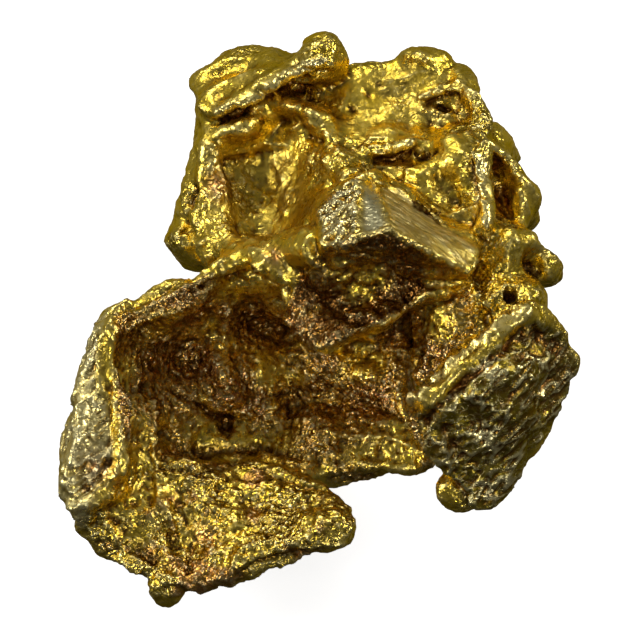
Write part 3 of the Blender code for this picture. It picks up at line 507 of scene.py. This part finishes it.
def inside(places, outline):
    """Which places lie within the outline, and how far each is from it, in millimetres."""
    corners = np.array(outline, float)
    within = np.zeros(len(places), bool)
    nearest = np.full(len(places), np.inf)
    for a, b in zip(corners, np.roll(corners, -1, axis=0)):
        crosses = (a[1] > places[:, 1]) != (b[1] > places[:, 1])
        rise = b[1] - a[1] if b[1] != a[1] else 1e-9
        within ^= crosses & (places[:, 0] < a[0] + (places[:, 1] - a[1]) * (b[0] - a[0]) / rise)
        along = np.clip(((places - a) @ (b - a)) / ((b - a) @ (b - a)), 0, 1)
        nearest = np.minimum(nearest, np.linalg.norm(places - a - along[:, None] * (b - a), axis=1))
    return within, nearest / GRID


def in_view(points, tree):
    """Which points nothing hides from the eye."""
    seen = np.zeros(len(points), bool)
    for i, point in enumerate(points):
        ray = Vector(point) - EYE
        hit = tree.ray_cast(EYE, ray.normalized())[3]
        seen[i] = hit is not None and hit > ray.length - HIDDEN_DEPTH
    return seen


def draw_facets(points, mesh):
    """Draws the surface, along the lines of sight, onto the flat-sided patches."""
    tree = tree_of(mesh)
    places = seen_at(points)
    target = points[:, 2].copy()
    for corners in FACETS.values():
        outline = [corner[:2] for corner in corners]
        chosen = np.flatnonzero(inside(places, outline)[0])
        chosen = chosen[in_view(points[chosen], tree)]
        flat = [Vector((x, y, 0)) for x, y in outline]
        for face in geometry.tessellate_polygon([flat]):
            a, b, c = (np.array(corners[i], float) for i in face)
            base = np.array([b[:2] - a[:2], c[:2] - a[:2]]).T
            share = np.linalg.solve(base, (places[chosen] - a[:2]).T).T
            held = (share >= -1e-6).all(1) & (share.sum(1) <= 1 + 1e-6)
            depth = a[2] + share @ np.array([b[2] - a[2], c[2] - a[2]])
            target[chosen[held]] = depth[held]
    return along_sight(points, target)


def along_sight(points, outs):
    """The points, each slid along its line of sight to the given height."""
    share = ((EYE_DISTANCE - outs) / (EYE_DISTANCE - points[:, 2]))[:, None]
    moved = points * share
    moved[:, 2] = outs
    return moved


def dropped(path, tree):
    """The path's points on the surface, close together."""
    found = []
    for (x0, y0), (x1, y1) in zip(path, path[1:] or path):
        steps = max(1, int(math.hypot(x1 - x0, y1 - y0) / STROKE_STEP))
        for i in range(steps + 1):
            ray = sight_line(x0 + (x1 - x0) * i / steps, y0 + (y1 - y0) * i / steps)
            hit = tree.ray_cast(EYE, ray)[0]
            if hit:
                found.append(hit)
    return np.array(found, float)


def stroke_heights(points, normals, mesh):
    """How far each point moves out for all the strokes together, and how much it is raised or sunk, to 1."""
    tree = tree_of(mesh)
    facing = np.clip(normals[:, 2] + 0.5, 0, 1)
    total = np.zeros(len(points))
    raised = np.zeros(len(points))
    sunk = np.zeros(len(points))
    wander = np.stack([rough_noise(points / WANDER_SIZE, 2, seed) for seed in WANDER_SEEDS], axis=1)
    wavy = points + WANDER * wander
    swell = 0.85 + 0.8 * rough_noise(points / SWELL_SIZE, 2, SWELL_SEED)
    for kind, height, width, path in STROKES:
        line = dropped(path, tree)
        reach = STROKE_REACH * width
        near = np.flatnonzero(((points > line.min(0) - reach) & (points < line.max(0) + reach)).all(1))
        gap = np.full(len(near), np.inf)
        for place in line:
            gap = np.minimum(gap, ((wavy[near] - place) ** 2).sum(1))
        across = np.sqrt(gap) / width
        shape = np.exp(-across) if kind == "crest" else np.exp(-(across**2))
        if width < BROAD:
            shape *= swell[near]
        total[near] += height * shape
        if width <= BROAD:
            part = raised if height > 0 else sunk
            part[near] = np.maximum(part[near], shape * min(1.0, abs(height) / FULL_HEIGHT))
    return total * facing, raised * facing, sunk * facing


# ---- noise -----------------------------------------------------------------------------------------------


def hashed(cells, seed):
    """A repeatable number from 0 to 1 for each lattice cell."""
    x, y, z = (cells[..., i].astype(np.uint64) for i in range(3))
    mixed = x * HASH_PRIMES[0] ^ y * HASH_PRIMES[1] ^ z * HASH_PRIMES[2] ^ np.uint64(seed * SEED_PRIME)
    mixed = (mixed ^ (mixed >> np.uint64(13))) * MIXING_PRIME
    return ((mixed ^ (mixed >> np.uint64(16))) & np.uint64(HASH_TOP)).astype(float) / HASH_TOP


def value_noise(points, seed):
    """Smooth noise from -1 to 1."""
    low = np.floor(points).astype(np.int64)
    part = points - low
    ease = part * part * part * (part * (part * 6 - 15) + 10)
    total = np.zeros(len(points))
    for corner in np.ndindex(2, 2, 2):
        share = np.prod(np.where(np.array(corner) == 1, ease, 1 - ease), axis=1)
        total += share * hashed(low + np.array(corner), seed)
    return 2 * total - 1


def rough_noise(points, octaves, seed):
    """Octaves of smooth noise together, from -1 to 1."""
    total, weight = np.zeros(len(points)), 0.0
    for octave in range(octaves):
        total += value_noise(points * OCTAVE_STEP**octave, seed + octave) / OCTAVE_FADE**octave
        weight += 1 / OCTAVE_FADE**octave
    return total / weight


def textured(points, name):
    """The noise of one of the textures, from -1 to 1."""
    size, octaves, seed = TEXTURES[name]
    return rough_noise(points / size, octaves, seed)


def cell_noise(points, seed):
    """The distance to the nearest of the points scattered one to a lattice cell."""
    low = np.floor(points).astype(np.int64)
    nearest = np.full(len(points), np.inf)
    for step in np.ndindex(3, 3, 3):
        cell = low + np.array(step) - 1
        seedling = np.stack([hashed(cell, seed + axis) for axis in range(3)], axis=1)
        nearest = np.minimum(nearest, np.linalg.norm(cell + seedling - points, axis=1))
    return nearest


def region_shares(points, mesh, outlines):
    """How far each point belongs to each region, from 0 to 1, soft at the region's edge."""
    tree = tree_of(mesh)
    places = seen_at(points)
    found = {}
    for name, outline in outlines.items():
        within, edge = inside(places, outline)
        chosen = np.flatnonzero(within)
        seen = in_view(points[chosen], tree)
        share = np.zeros(len(points))
        share[chosen[seen]] = np.clip(edge[chosen[seen]] / REGION_EDGE, 0, 1)
        found[name] = share
    rows = averaged(np.stack(list(found.values()), axis=1), edges_of(mesh), REGION_ROUNDING)
    return dict(zip(found, rows.T))


def rounded(points, mesh):
    """The points, with the listed hollows smoothed out."""
    share = np.max(list(region_shares(points, mesh, ROUNDED).values()), axis=0)
    edges = edges_of(mesh)
    chosen, local = np.unique(edges[(share[edges] > 0).any(1)], return_inverse=True)
    local = local.reshape(-1, 2)
    moved = points[chosen]
    part = share[chosen][:, None]
    for _ in range(HOLLOW_ROUNDING):
        moved = moved + (averaged(moved, local, 1) - moved) * part
    points = points.copy()
    points[chosen] = moved
    return points


def smoothed_behind(points, mesh, hidden):
    """The points, with the CAD's facets smoothed out where the front view doesn't show them."""
    return points + (averaged(points, edges_of(mesh), BACK_ROUNDING) - points) * hidden[:, None]


def hidden_share(points, mesh):
    """How far each point is out of the front view, from 0 to 1."""
    hidden = 1.0 - in_view(points, tree_of(mesh))
    return averaged(hidden[:, None], edges_of(mesh), HIDDEN_ROUNDING)[:, 0]


def spotted(points):
    """How much of the stained spots each point of the front face takes, to 1."""
    places = seen_at(points)
    total = np.zeros(len(points))
    for x, y, radius in SPOTS:
        total += np.exp(-((places - (x, y)) ** 2).sum(1) / radius**2)
    return np.minimum(total, 1)


def ridged(values):
    """Noise with sharp ridges where the values pass nought: at most 1, on a ridge."""
    return 1 - np.abs(values) * 2


def grain(points, regions):
    """The height of the surface's own grain: swells everywhere, and each region's texture; and its crests."""
    plain = PLAIN_HEIGHT * textured(points, "plain")
    crumple = 0.6 * ridged(textured(points, "crumple")) + 0.5 * ridged(textured(points, "fine_crumple"))
    worms = ridged(textured(points, "worms"))
    lines = ridged(textured(points @ LINE_AXES.T, "lines"))
    folds = np.clip(ridged(textured(points @ FOLD_AXES.T, "folds")), 0, 1) ** 3
    pits = np.exp(-((cell_noise(points / PIT_SPACING, PIT_SEED) / PIT_SIZE) ** 2))
    folded = np.maximum(regions["flap"], regions["outer_wall"])
    gritty = np.max([regions[name] for name in ("scoop", "floor", "under_block")], axis=0)
    smooth = np.maximum(regions["grey_face"], regions["combed_face"])
    hollow = regions["upper_hollow"]
    total = plain * (1 + 0.2 * hollow) * (1 - 0.8 * smooth)
    total += (CRUMPLE_HEIGHT + GRITTY_CRUMPLE * gritty - 0.02 * hollow - 0.05 * smooth) * crumple
    total += WORM_HEIGHT * regions["grain_face"] * worms
    total += LINE_HEIGHT * regions["combed_face"] * lines
    total += FOLD_HEIGHT * folded * folds
    total += (GRIT_HEIGHT + GRITTY_GRIT * gritty) * textured(points, "grit")
    total += regions["hidden"] * (CRUMPLE_HEIGHT * crumple - PIT_DEPTH * pits) + FAINT_WORM * hollow * worms
    crests = (folded * folds, regions["grain_face"] * worms, 0.8 * regions["combed_face"] * lines)
    return total, np.max(crests, axis=0)


def finish_layers(points, normals, edges, regions):
    """What the finish follows, each from 0 to 1: wear and painted highlight, painted shade in creases and
    hollows, and grit, stain and patina.
    """
    close = ((averaged(points, edges, CLOSE_PASSES) - points) * normals).sum(1) / CLOSE_DEPTH
    broad = ((averaged(points, edges, BROAD_PASSES) - points) * normals).sum(1) / BROAD_DEPTH
    patches = textured(points, "patches")
    red = np.clip(6 * textured(points, "red_patches") - 1.6, 0, 0.8)
    # the scoop and the ground under the block take painted shade as well as stain
    stain_and_shade = 0.75 * regions["scoop"] + 1.1 * regions["under_block"]
    most = {}
    for finish, shares in SHARES.items():
        most[finish] = np.max([share * regions[name] for name, share in shares.items()], axis=0)
    return {
        # convex edges: wear and painted highlight
        "edge": -close,
        # painted shade where the surface is concave
        "painted_crease_shade": 0.55 * close + 0.45 * broad,
        # painted shade: under the block, in broad hollows and in the flap's recesses
        "deep": regions["under_block"] * (0.75 + 1.2 * patches)
        + np.clip(0.9 * broad + 0.4 * close - 0.5, 0, 0.8)
        + regions["flap"] * np.clip(1.2 * close + 1.5 * patches, 0, 0.7),
        "grit": 0.25 + 1.0 * patches + 0.45 * most["gritty"] - 0.5 * most["smooth"] - 0.6 * most["folded"],
        "stain_and_shade": stain_and_shade * (0.8 + 1.6 * patches) + regions["floor"] * red,
        # the flap: patina and painted shade
        "patina_and_shade": regions["flap"] * (1.0 + 0.6 * patches),
        "grey": regions["grey_face"],
        "combed": regions["combed_face"],
        "threads": most["threads"],
        # pale: wear, with painted highlight and painted reflection
        "pale_wear_and_highlight": most["pale_wear_and_highlight"] * (0.8 + 0.8 * patches),
        "satin": most["satin"],
    }


def within_box(points, low, high):
    """The points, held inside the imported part's box."""
    matrix = np.array(front_to_world())
    world = points * MM @ matrix[:3, :3].T + matrix[:3, 3]
    held = np.clip(world, np.array(low), np.array(high))
    return (held - matrix[:3, 3]) @ matrix[:3, :3] / MM


def worked_mesh(cad, low, high):
    """The nugget's surface in the front frame, with its shapes, its grain and the layers of its finish."""
    mesh = body_from(cad)
    set_points(mesh, rounded(points_of(mesh), mesh))
    set_points(mesh, draw_facets(points_of(mesh), mesh))
    mesh = evened(mesh, FINE_VOXEL, 1)
    points = points_of(mesh)
    regions = region_shares(points, mesh, REGIONS)
    regions["hidden"] = hidden_share(points, mesh)
    points = smoothed_behind(points, mesh, regions["hidden"])
    set_points(mesh, points)
    normals = normals_of(mesh)
    relief, crest = grain(points, regions)
    heights, raised, sunk = stroke_heights(points, normals, mesh)
    points = points + normals * (heights + relief)[:, None]
    points = within_box(points, low, high)
    set_points(mesh, points)
    layers = finish_layers(points, normals_of(mesh), edges_of(mesh), regions)
    # the grain's crests, painted pale as highlight
    layers["crest"] = crest
    layers["stain_and_shade"] = np.maximum(layers["stain_and_shade"], SPOT_STAIN * spotted(points) * (1 - regions["hidden"]))
    # raised strokes are worn pale and painted with highlight
    layers["pale_wear_and_highlight"] = np.maximum(layers["pale_wear_and_highlight"], CREST_WEAR_AND_HIGHLIGHT * raised)
    # sunk strokes take painted shade
    layers["deep"] = np.maximum(layers["deep"], CREASE_SHADE * sunk)
    layers["grit"] = layers["grit"] - CREST_CLEAN * raised
    for name, values in layers.items():
        layer = mesh.attributes.new(name, "FLOAT", "POINT")
        layer.data.foreach_set("value", np.clip(values, 0, 1).astype(np.float32))
    place = mesh.attributes.new("place", "FLOAT_VECTOR", "POINT")
    place.data.foreach_set("vector", points.astype(np.float32).ravel())
    return mesh


def thinned(piece):
    """The piece's mesh with no more than TRIANGLES triangles."""
    thin = piece.modifiers.new("thin", "DECIMATE")
    piece.data.calc_loop_triangles()
    thin.ratio = min(1.0, TRIANGLES / len(piece.data.loop_triangles))
    bpy.context.view_layer.update()
    graph = bpy.context.evaluated_depsgraph_get()
    final = bpy.data.meshes.new_from_object(piece.evaluated_get(graph))
    piece.modifiers.clear()
    return final


def nugget(cad, low, high):
    """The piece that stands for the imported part's node."""
    mesh = worked_mesh(cad, low, high)
    mesh.transform(front_to_world() @ Matrix.Scale(MM, 4))
    piece = bpy.data.objects.new("nugget_surface", mesh)
    bpy.context.scene.collection.objects.link(piece)
    final = thinned(piece)
    piece.data = final
    set_points(final, np.clip(points_of(final), np.array(low), np.array(high)))
    final.shade_smooth()
    final.materials.clear()
    final.materials.append(gold())
    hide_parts("gold_nugget")
    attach(piece, "root")


def main():
    """Builds the scene."""
    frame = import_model()
    cad_low, cad_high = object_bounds()
    nugget(frame["nodes"]["gold_nugget"], cad_low, cad_high)
    floor()
    lights()
    camera()


# ---- materials -------------------------------------------------------------------------------------------


def attribute(tree, name):
    """The node that reads one of the mesh's layers."""
    made = tree.nodes.new("ShaderNodeAttribute")
    made.attribute_name = name
    return made


def value_of(tree, name):
    """One of the mesh's layers, as a number."""
    return attribute(tree, name).outputs["Fac"]


def spread(tree, value, low, high, to_low=0.0, to_high=1.0):
    """The value, stretched from one range to another and held inside it."""
    made = tree.nodes.new("ShaderNodeMapRange")
    tree.links.new(value, made.inputs["Value"])
    for name, setting in {"From Min": low, "From Max": high, "To Min": to_low, "To Max": to_high}.items():
        made.inputs[name].default_value = setting
    return made.outputs["Result"]


def maths(tree, operation, *values):
    """The values, taken together by the operation."""
    made = tree.nodes.new("ShaderNodeMath")
    made.operation = operation
    for slot, value in zip(made.inputs, values):
        if isinstance(value, (int, float)):
            slot.default_value = value
        else:
            tree.links.new(value, slot)
    return made.outputs[0]


def tinted(tree, share, under, over):
    """The colour under, with the colour over laid on it by share."""
    made = tree.nodes.new("ShaderNodeMix")
    made.data_type = "RGBA"
    tree.links.new(share, made.inputs[0])
    for slot, value in ((made.inputs[6], under), (made.inputs[7], over)):
        if isinstance(value, tuple):
            slot.default_value = (*value, 1)
        else:
            tree.links.new(value, slot)
    return made.outputs[2]


def mottling(tree, place, scale, detail):
    """Noise in the front frame; scale is in cycles to a millimetre."""
    made = tree.nodes.new("ShaderNodeTexNoise")
    made.inputs["Scale"].default_value = scale
    made.inputs["Detail"].default_value = detail
    made.inputs["Roughness"].default_value = 0.6
    tree.links.new(place, made.inputs["Vector"])
    return made.outputs["Fac"]


def gold():
    """Natural gold: metallic, grainy to gleam, with real stains and wear, painted shade in its creases and
    hollows, and painted highlights on its edges, crests and grains.
    """
    material = bpy.data.materials.new("gold")
    material.use_nodes = True
    tree = material.node_tree
    surface = tree.nodes["Principled BSDF"]
    surface.inputs["Metallic"].default_value = 1.0
    surface.inputs["Specular Tint"].default_value = GLANCING_TINT
    place = attribute(tree, "place").outputs["Vector"]
    grit = value_of(tree, "grit")
    cloud = mottling(tree, place, CLOUD_SCALE, 3)
    speck = mottling(tree, place, SPECK_SCALE, 4)
    flake = flakes(tree, place, FLAKE_SCALE)
    threads = maths(tree, "MULTIPLY", value_of(tree, "threads"), thread_lines(tree, place))
    drawn = spread(tree, slanting(tree, place, COMB_SLANT, COMB_STRETCH, COMB_SCALE), 0.46, 0.56)
    combed = maths(tree, "MULTIPLY", value_of(tree, "combed"), drawn)
    # pale specks on the grains' tops: painted glints
    painted_glint = maths(tree, "MULTIPLY", spread(tree, speck, 0.42, 0.6), spread(tree, flake, 0.3, 0.8))
    wear_and_sheen = maths(tree, "MULTIPLY", value_of(tree, "edge"), spread(tree, speck, 0.4, 0.6, 0.3, 1))
    colour = tinted(tree, spread(tree, cloud, 0.35, 0.7), COLOURS["gold"], COLOURS["bright_gold"])
    # Each colour is laid on the ones before it.
    layers = [
        ("grey", value_of(tree, "grey")),
        # pale: wear and painted highlight
        ("pale_wear_and_highlight", maths(tree, "MULTIPLY", value_of(tree, "pale_wear_and_highlight"), spread(tree, speck, 0.35, 0.55, 0.5, 1.0))),
        # stain, with painted shade in the scoop and under the block
        ("stain_and_shade", maths(tree, "MULTIPLY", value_of(tree, "stain_and_shade"), spread(tree, speck, 0.3, 0.6, 0.5, 1.2))),
        # patina and painted shade on the flap
        ("patina_and_shade", spread(tree, value_of(tree, "patina_and_shade"), 0, 1, 0, 0.85)),
        # painted shade between the grains
        ("painted_pit_shade", maths(tree, "MULTIPLY", grit, spread(tree, flake, 0.0, 0.4, 0.85, 0))),
        # painted shade in creases
        ("painted_crease_shade", spread(tree, value_of(tree, "painted_crease_shade"), 0.1, 0.8, 0, 0.9)),
        # painted glints on gritty grains
        ("painted_glint", maths(tree, "MULTIPLY", painted_glint, grit)),
        # painted highlight on the grain's crests
        ("crest", spread(tree, value_of(tree, "crest"), 0.4, 0.8, 0, 0.6)),
        ("comb", maths(tree, "MULTIPLY", combed, 0.6)),
        # painted highlight along the threads
        ("painted_thread_highlight", maths(tree, "MULTIPLY", threads, 0.8)),
        # painted shade
        ("deep", value_of(tree, "deep")),
        # convex edges worn pale, with painted highlight
        ("edge", spread(tree, wear_and_sheen, 0.2, 1.0, 0, 0.4)),
    ]
    for name, share in layers:
        colour = tinted(tree, share, colour, COLOURS[name])
    tree.links.new(colour, surface.inputs["Base Color"])
    fine = mottling(tree, place, FINE_SCALE, 3)
    height = maths(tree, "ADD", maths(tree, "MULTIPLY", fine, 0.4), flake)
    height = maths(tree, "ADD", height, maths(tree, "SUBTRACT", threads, maths(tree, "MULTIPLY", combed, 1.5)))
    bump = tree.nodes.new("ShaderNodeBump")
    bump.inputs["Distance"].default_value = BUMP_DEPTH
    tree.links.new(spread(tree, grit, 0, 1, 0.3, 1.0), bump.inputs["Strength"])
    tree.links.new(height, bump.inputs["Height"])
    tree.links.new(bump.outputs["Normal"], surface.inputs["Normal"])
    rough = maths(tree, "ADD", spread(tree, speck, 0.3, 0.7, 0.22, 0.40), maths(tree, "MULTIPLY", grit, -0.08))
    rough = maths(tree, "ADD", rough, maths(tree, "MULTIPLY", value_of(tree, "satin"), 0.2))
    tree.links.new(rough, surface.inputs["Roughness"])
    return material


def slanting(tree, place, slant, stretch, scale):
    """Noise drawn out along a slant in the front view; scale is in cycles to a millimetre across it."""
    turned = tree.nodes.new("ShaderNodeMapping")
    turned.vector_type = "TEXTURE"
    turned.inputs["Rotation"].default_value = (0, 0, slant)
    turned.inputs["Scale"].default_value = (1 / stretch, 1, 1)
    tree.links.new(place, turned.inputs["Vector"])
    return mottling(tree, turned.outputs["Vector"], scale, 3)


def thread_lines(tree, place):
    """A web of thin slanting lines: 1 on a line, 0 off it."""
    found = None
    for scale, width in THREADS:
        wander = slanting(tree, place, FOLD_SLANT, THREAD_STRETCH, scale)
        gap = maths(tree, "ABSOLUTE", maths(tree, "SUBTRACT", wander, 0.5))
        line = spread(tree, gap, 0, width, 1, 0)
        found = line if found is None else maths(tree, "MAXIMUM", found, line)
    return found


def flakes(tree, place, scale):
    """Small crowded grains: 1 at a grain's middle, 0 between grains."""
    stir = tree.nodes.new("ShaderNodeTexNoise")
    stir.inputs["Scale"].default_value = STIR_SCALE
    tree.links.new(place, stir.inputs["Vector"])
    moved = tree.nodes.new("ShaderNodeVectorMath")
    moved.operation = "MULTIPLY_ADD"
    tree.links.new(stir.outputs["Color"], moved.inputs[0])
    moved.inputs[1].default_value = (0.35, 0.35, 0.35)
    tree.links.new(place, moved.inputs[2])
    grains = tree.nodes.new("ShaderNodeTexVoronoi")
    grains.inputs["Scale"].default_value = scale
    tree.links.new(moved.outputs["Vector"], grains.inputs["Vector"])
    return spread(tree, grains.outputs["Distance"], 0.1, 0.7, 1, 0)


# ---- the stage, the lights and the camera ----------------------------------------------------------------


def floor():
    """White paper that glows a little, so that it stays white; the gold's mirror image of it is left out."""
    mesh = bpy.data.meshes.new("floor")
    half = PAPER_HALF
    corners = [(-half, -half, 0), (half, -half, 0), (half, half, 0), (-half, half, 0)]
    mesh.from_pydata(corners, [], [(0, 1, 2, 3)])
    made = bpy.data.objects.new("floor", mesh)
    bpy.context.scene.collection.objects.link(made)
    material = bpy.data.materials.new("paper")
    material.use_nodes = True
    surface = material.node_tree.nodes["Principled BSDF"]
    surface.inputs["Base Color"].default_value = (0.9, 0.9, 0.9, 1)
    surface.inputs["Roughness"].default_value = 0.9
    surface.inputs["Specular IOR Level"].default_value = 0.1
    surface.inputs["Emission Color"].default_value = (1, 1, 1, 1)
    surface.inputs["Emission Strength"].default_value = PAPER_GLOW
    made.data.materials.append(material)
    made.visible_glossy = False


def softbox(name, place, width, height, power):
    """A square-cornered lamp that faces the nugget."""
    light = bpy.data.lights.new(name, "AREA")
    light.shape = "RECTANGLE"
    light.size, light.size_y = width, height
    light.energy = power
    made = bpy.data.objects.new(name, light)
    bpy.context.scene.collection.objects.link(made)
    made.location = place
    made.rotation_mode = "QUATERNION"
    made.rotation_quaternion = (Vector(place) - Vector(LIT_PLACE)).to_track_quat("Z", "Y")


def studio_world():
    """A soft sky: brightest high behind the nugget, paler at the sides, dark towards the eye."""
    world = bpy.data.worlds.new("studio")
    bpy.context.scene.world = world
    world.use_nodes = True
    tree = world.node_tree
    around = tree.nodes.new("ShaderNodeTexCoord").outputs["Generated"]
    facing = tree.nodes.new("ShaderNodeVectorMath")
    facing.operation = "DOT_PRODUCT"
    facing.inputs[1].default_value = BRIGHT_SKY.normalized()
    tree.links.new(around, facing.inputs[0])
    held = maths(tree, "MAXIMUM", facing.outputs["Value"], 0.0)
    glow = maths(tree, "MULTIPLY", maths(tree, "POWER", held, SKY_FOCUS), SKY_GLOW)
    split = tree.nodes.new("ShaderNodeSeparateXYZ")
    tree.links.new(around, split.inputs[0])
    across, back, height = (split.outputs[name] for name in "XYZ")
    above = spread(tree, height, -0.1, 0.1, UNDER_LEVEL, 1.0)
    behind = spread(tree, back, 0.0, 0.5)
    paper = maths(tree, "MULTIPLY", spread(tree, height, -0.5, -0.1, PAPER_GLEAM, 0.0), behind)
    sideways = maths(tree, "POWER", maths(tree, "ABSOLUTE", across), 2.0)
    sideways = maths(tree, "MULTIPLY", sideways, SIDE_GLOW)
    level = maths(tree, "ADD", maths(tree, "ADD", glow, sideways), maths(tree, "ADD", paper, SKY_LEVEL))
    strength = maths(tree, "MULTIPLY", level, above)
    tree.nodes["Background"].inputs["Color"].default_value = (1, 1, 1, 1)
    tree.links.new(strength, tree.nodes["Background"].inputs["Strength"])


def lights():
    """The softboxes and the sky, seen with plain colours."""
    for name, (place, width, height, power) in SOFTBOXES.items():
        softbox(name, place, width, height, power)
    studio_world()
    bpy.context.scene.view_settings.view_transform = "Standard"


def camera():
    """The camera, above the nugget's front face, looking down its front frame's out axis."""
    data = bpy.data.cameras.new("camera")
    data.sensor_width = SENSOR_WIDTH
    data.lens = data.sensor_width * EYE_DISTANCE / VIEW_WIDTH
    data.clip_start, data.clip_end = 0.01, 10
    made = bpy.data.objects.new("camera", data)
    bpy.context.scene.collection.objects.link(made)
    made.matrix_world = front_to_world() @ Matrix.Translation((0, 0, EYE_DISTANCE * MM))
    bpy.context.scene.camera = made


main()
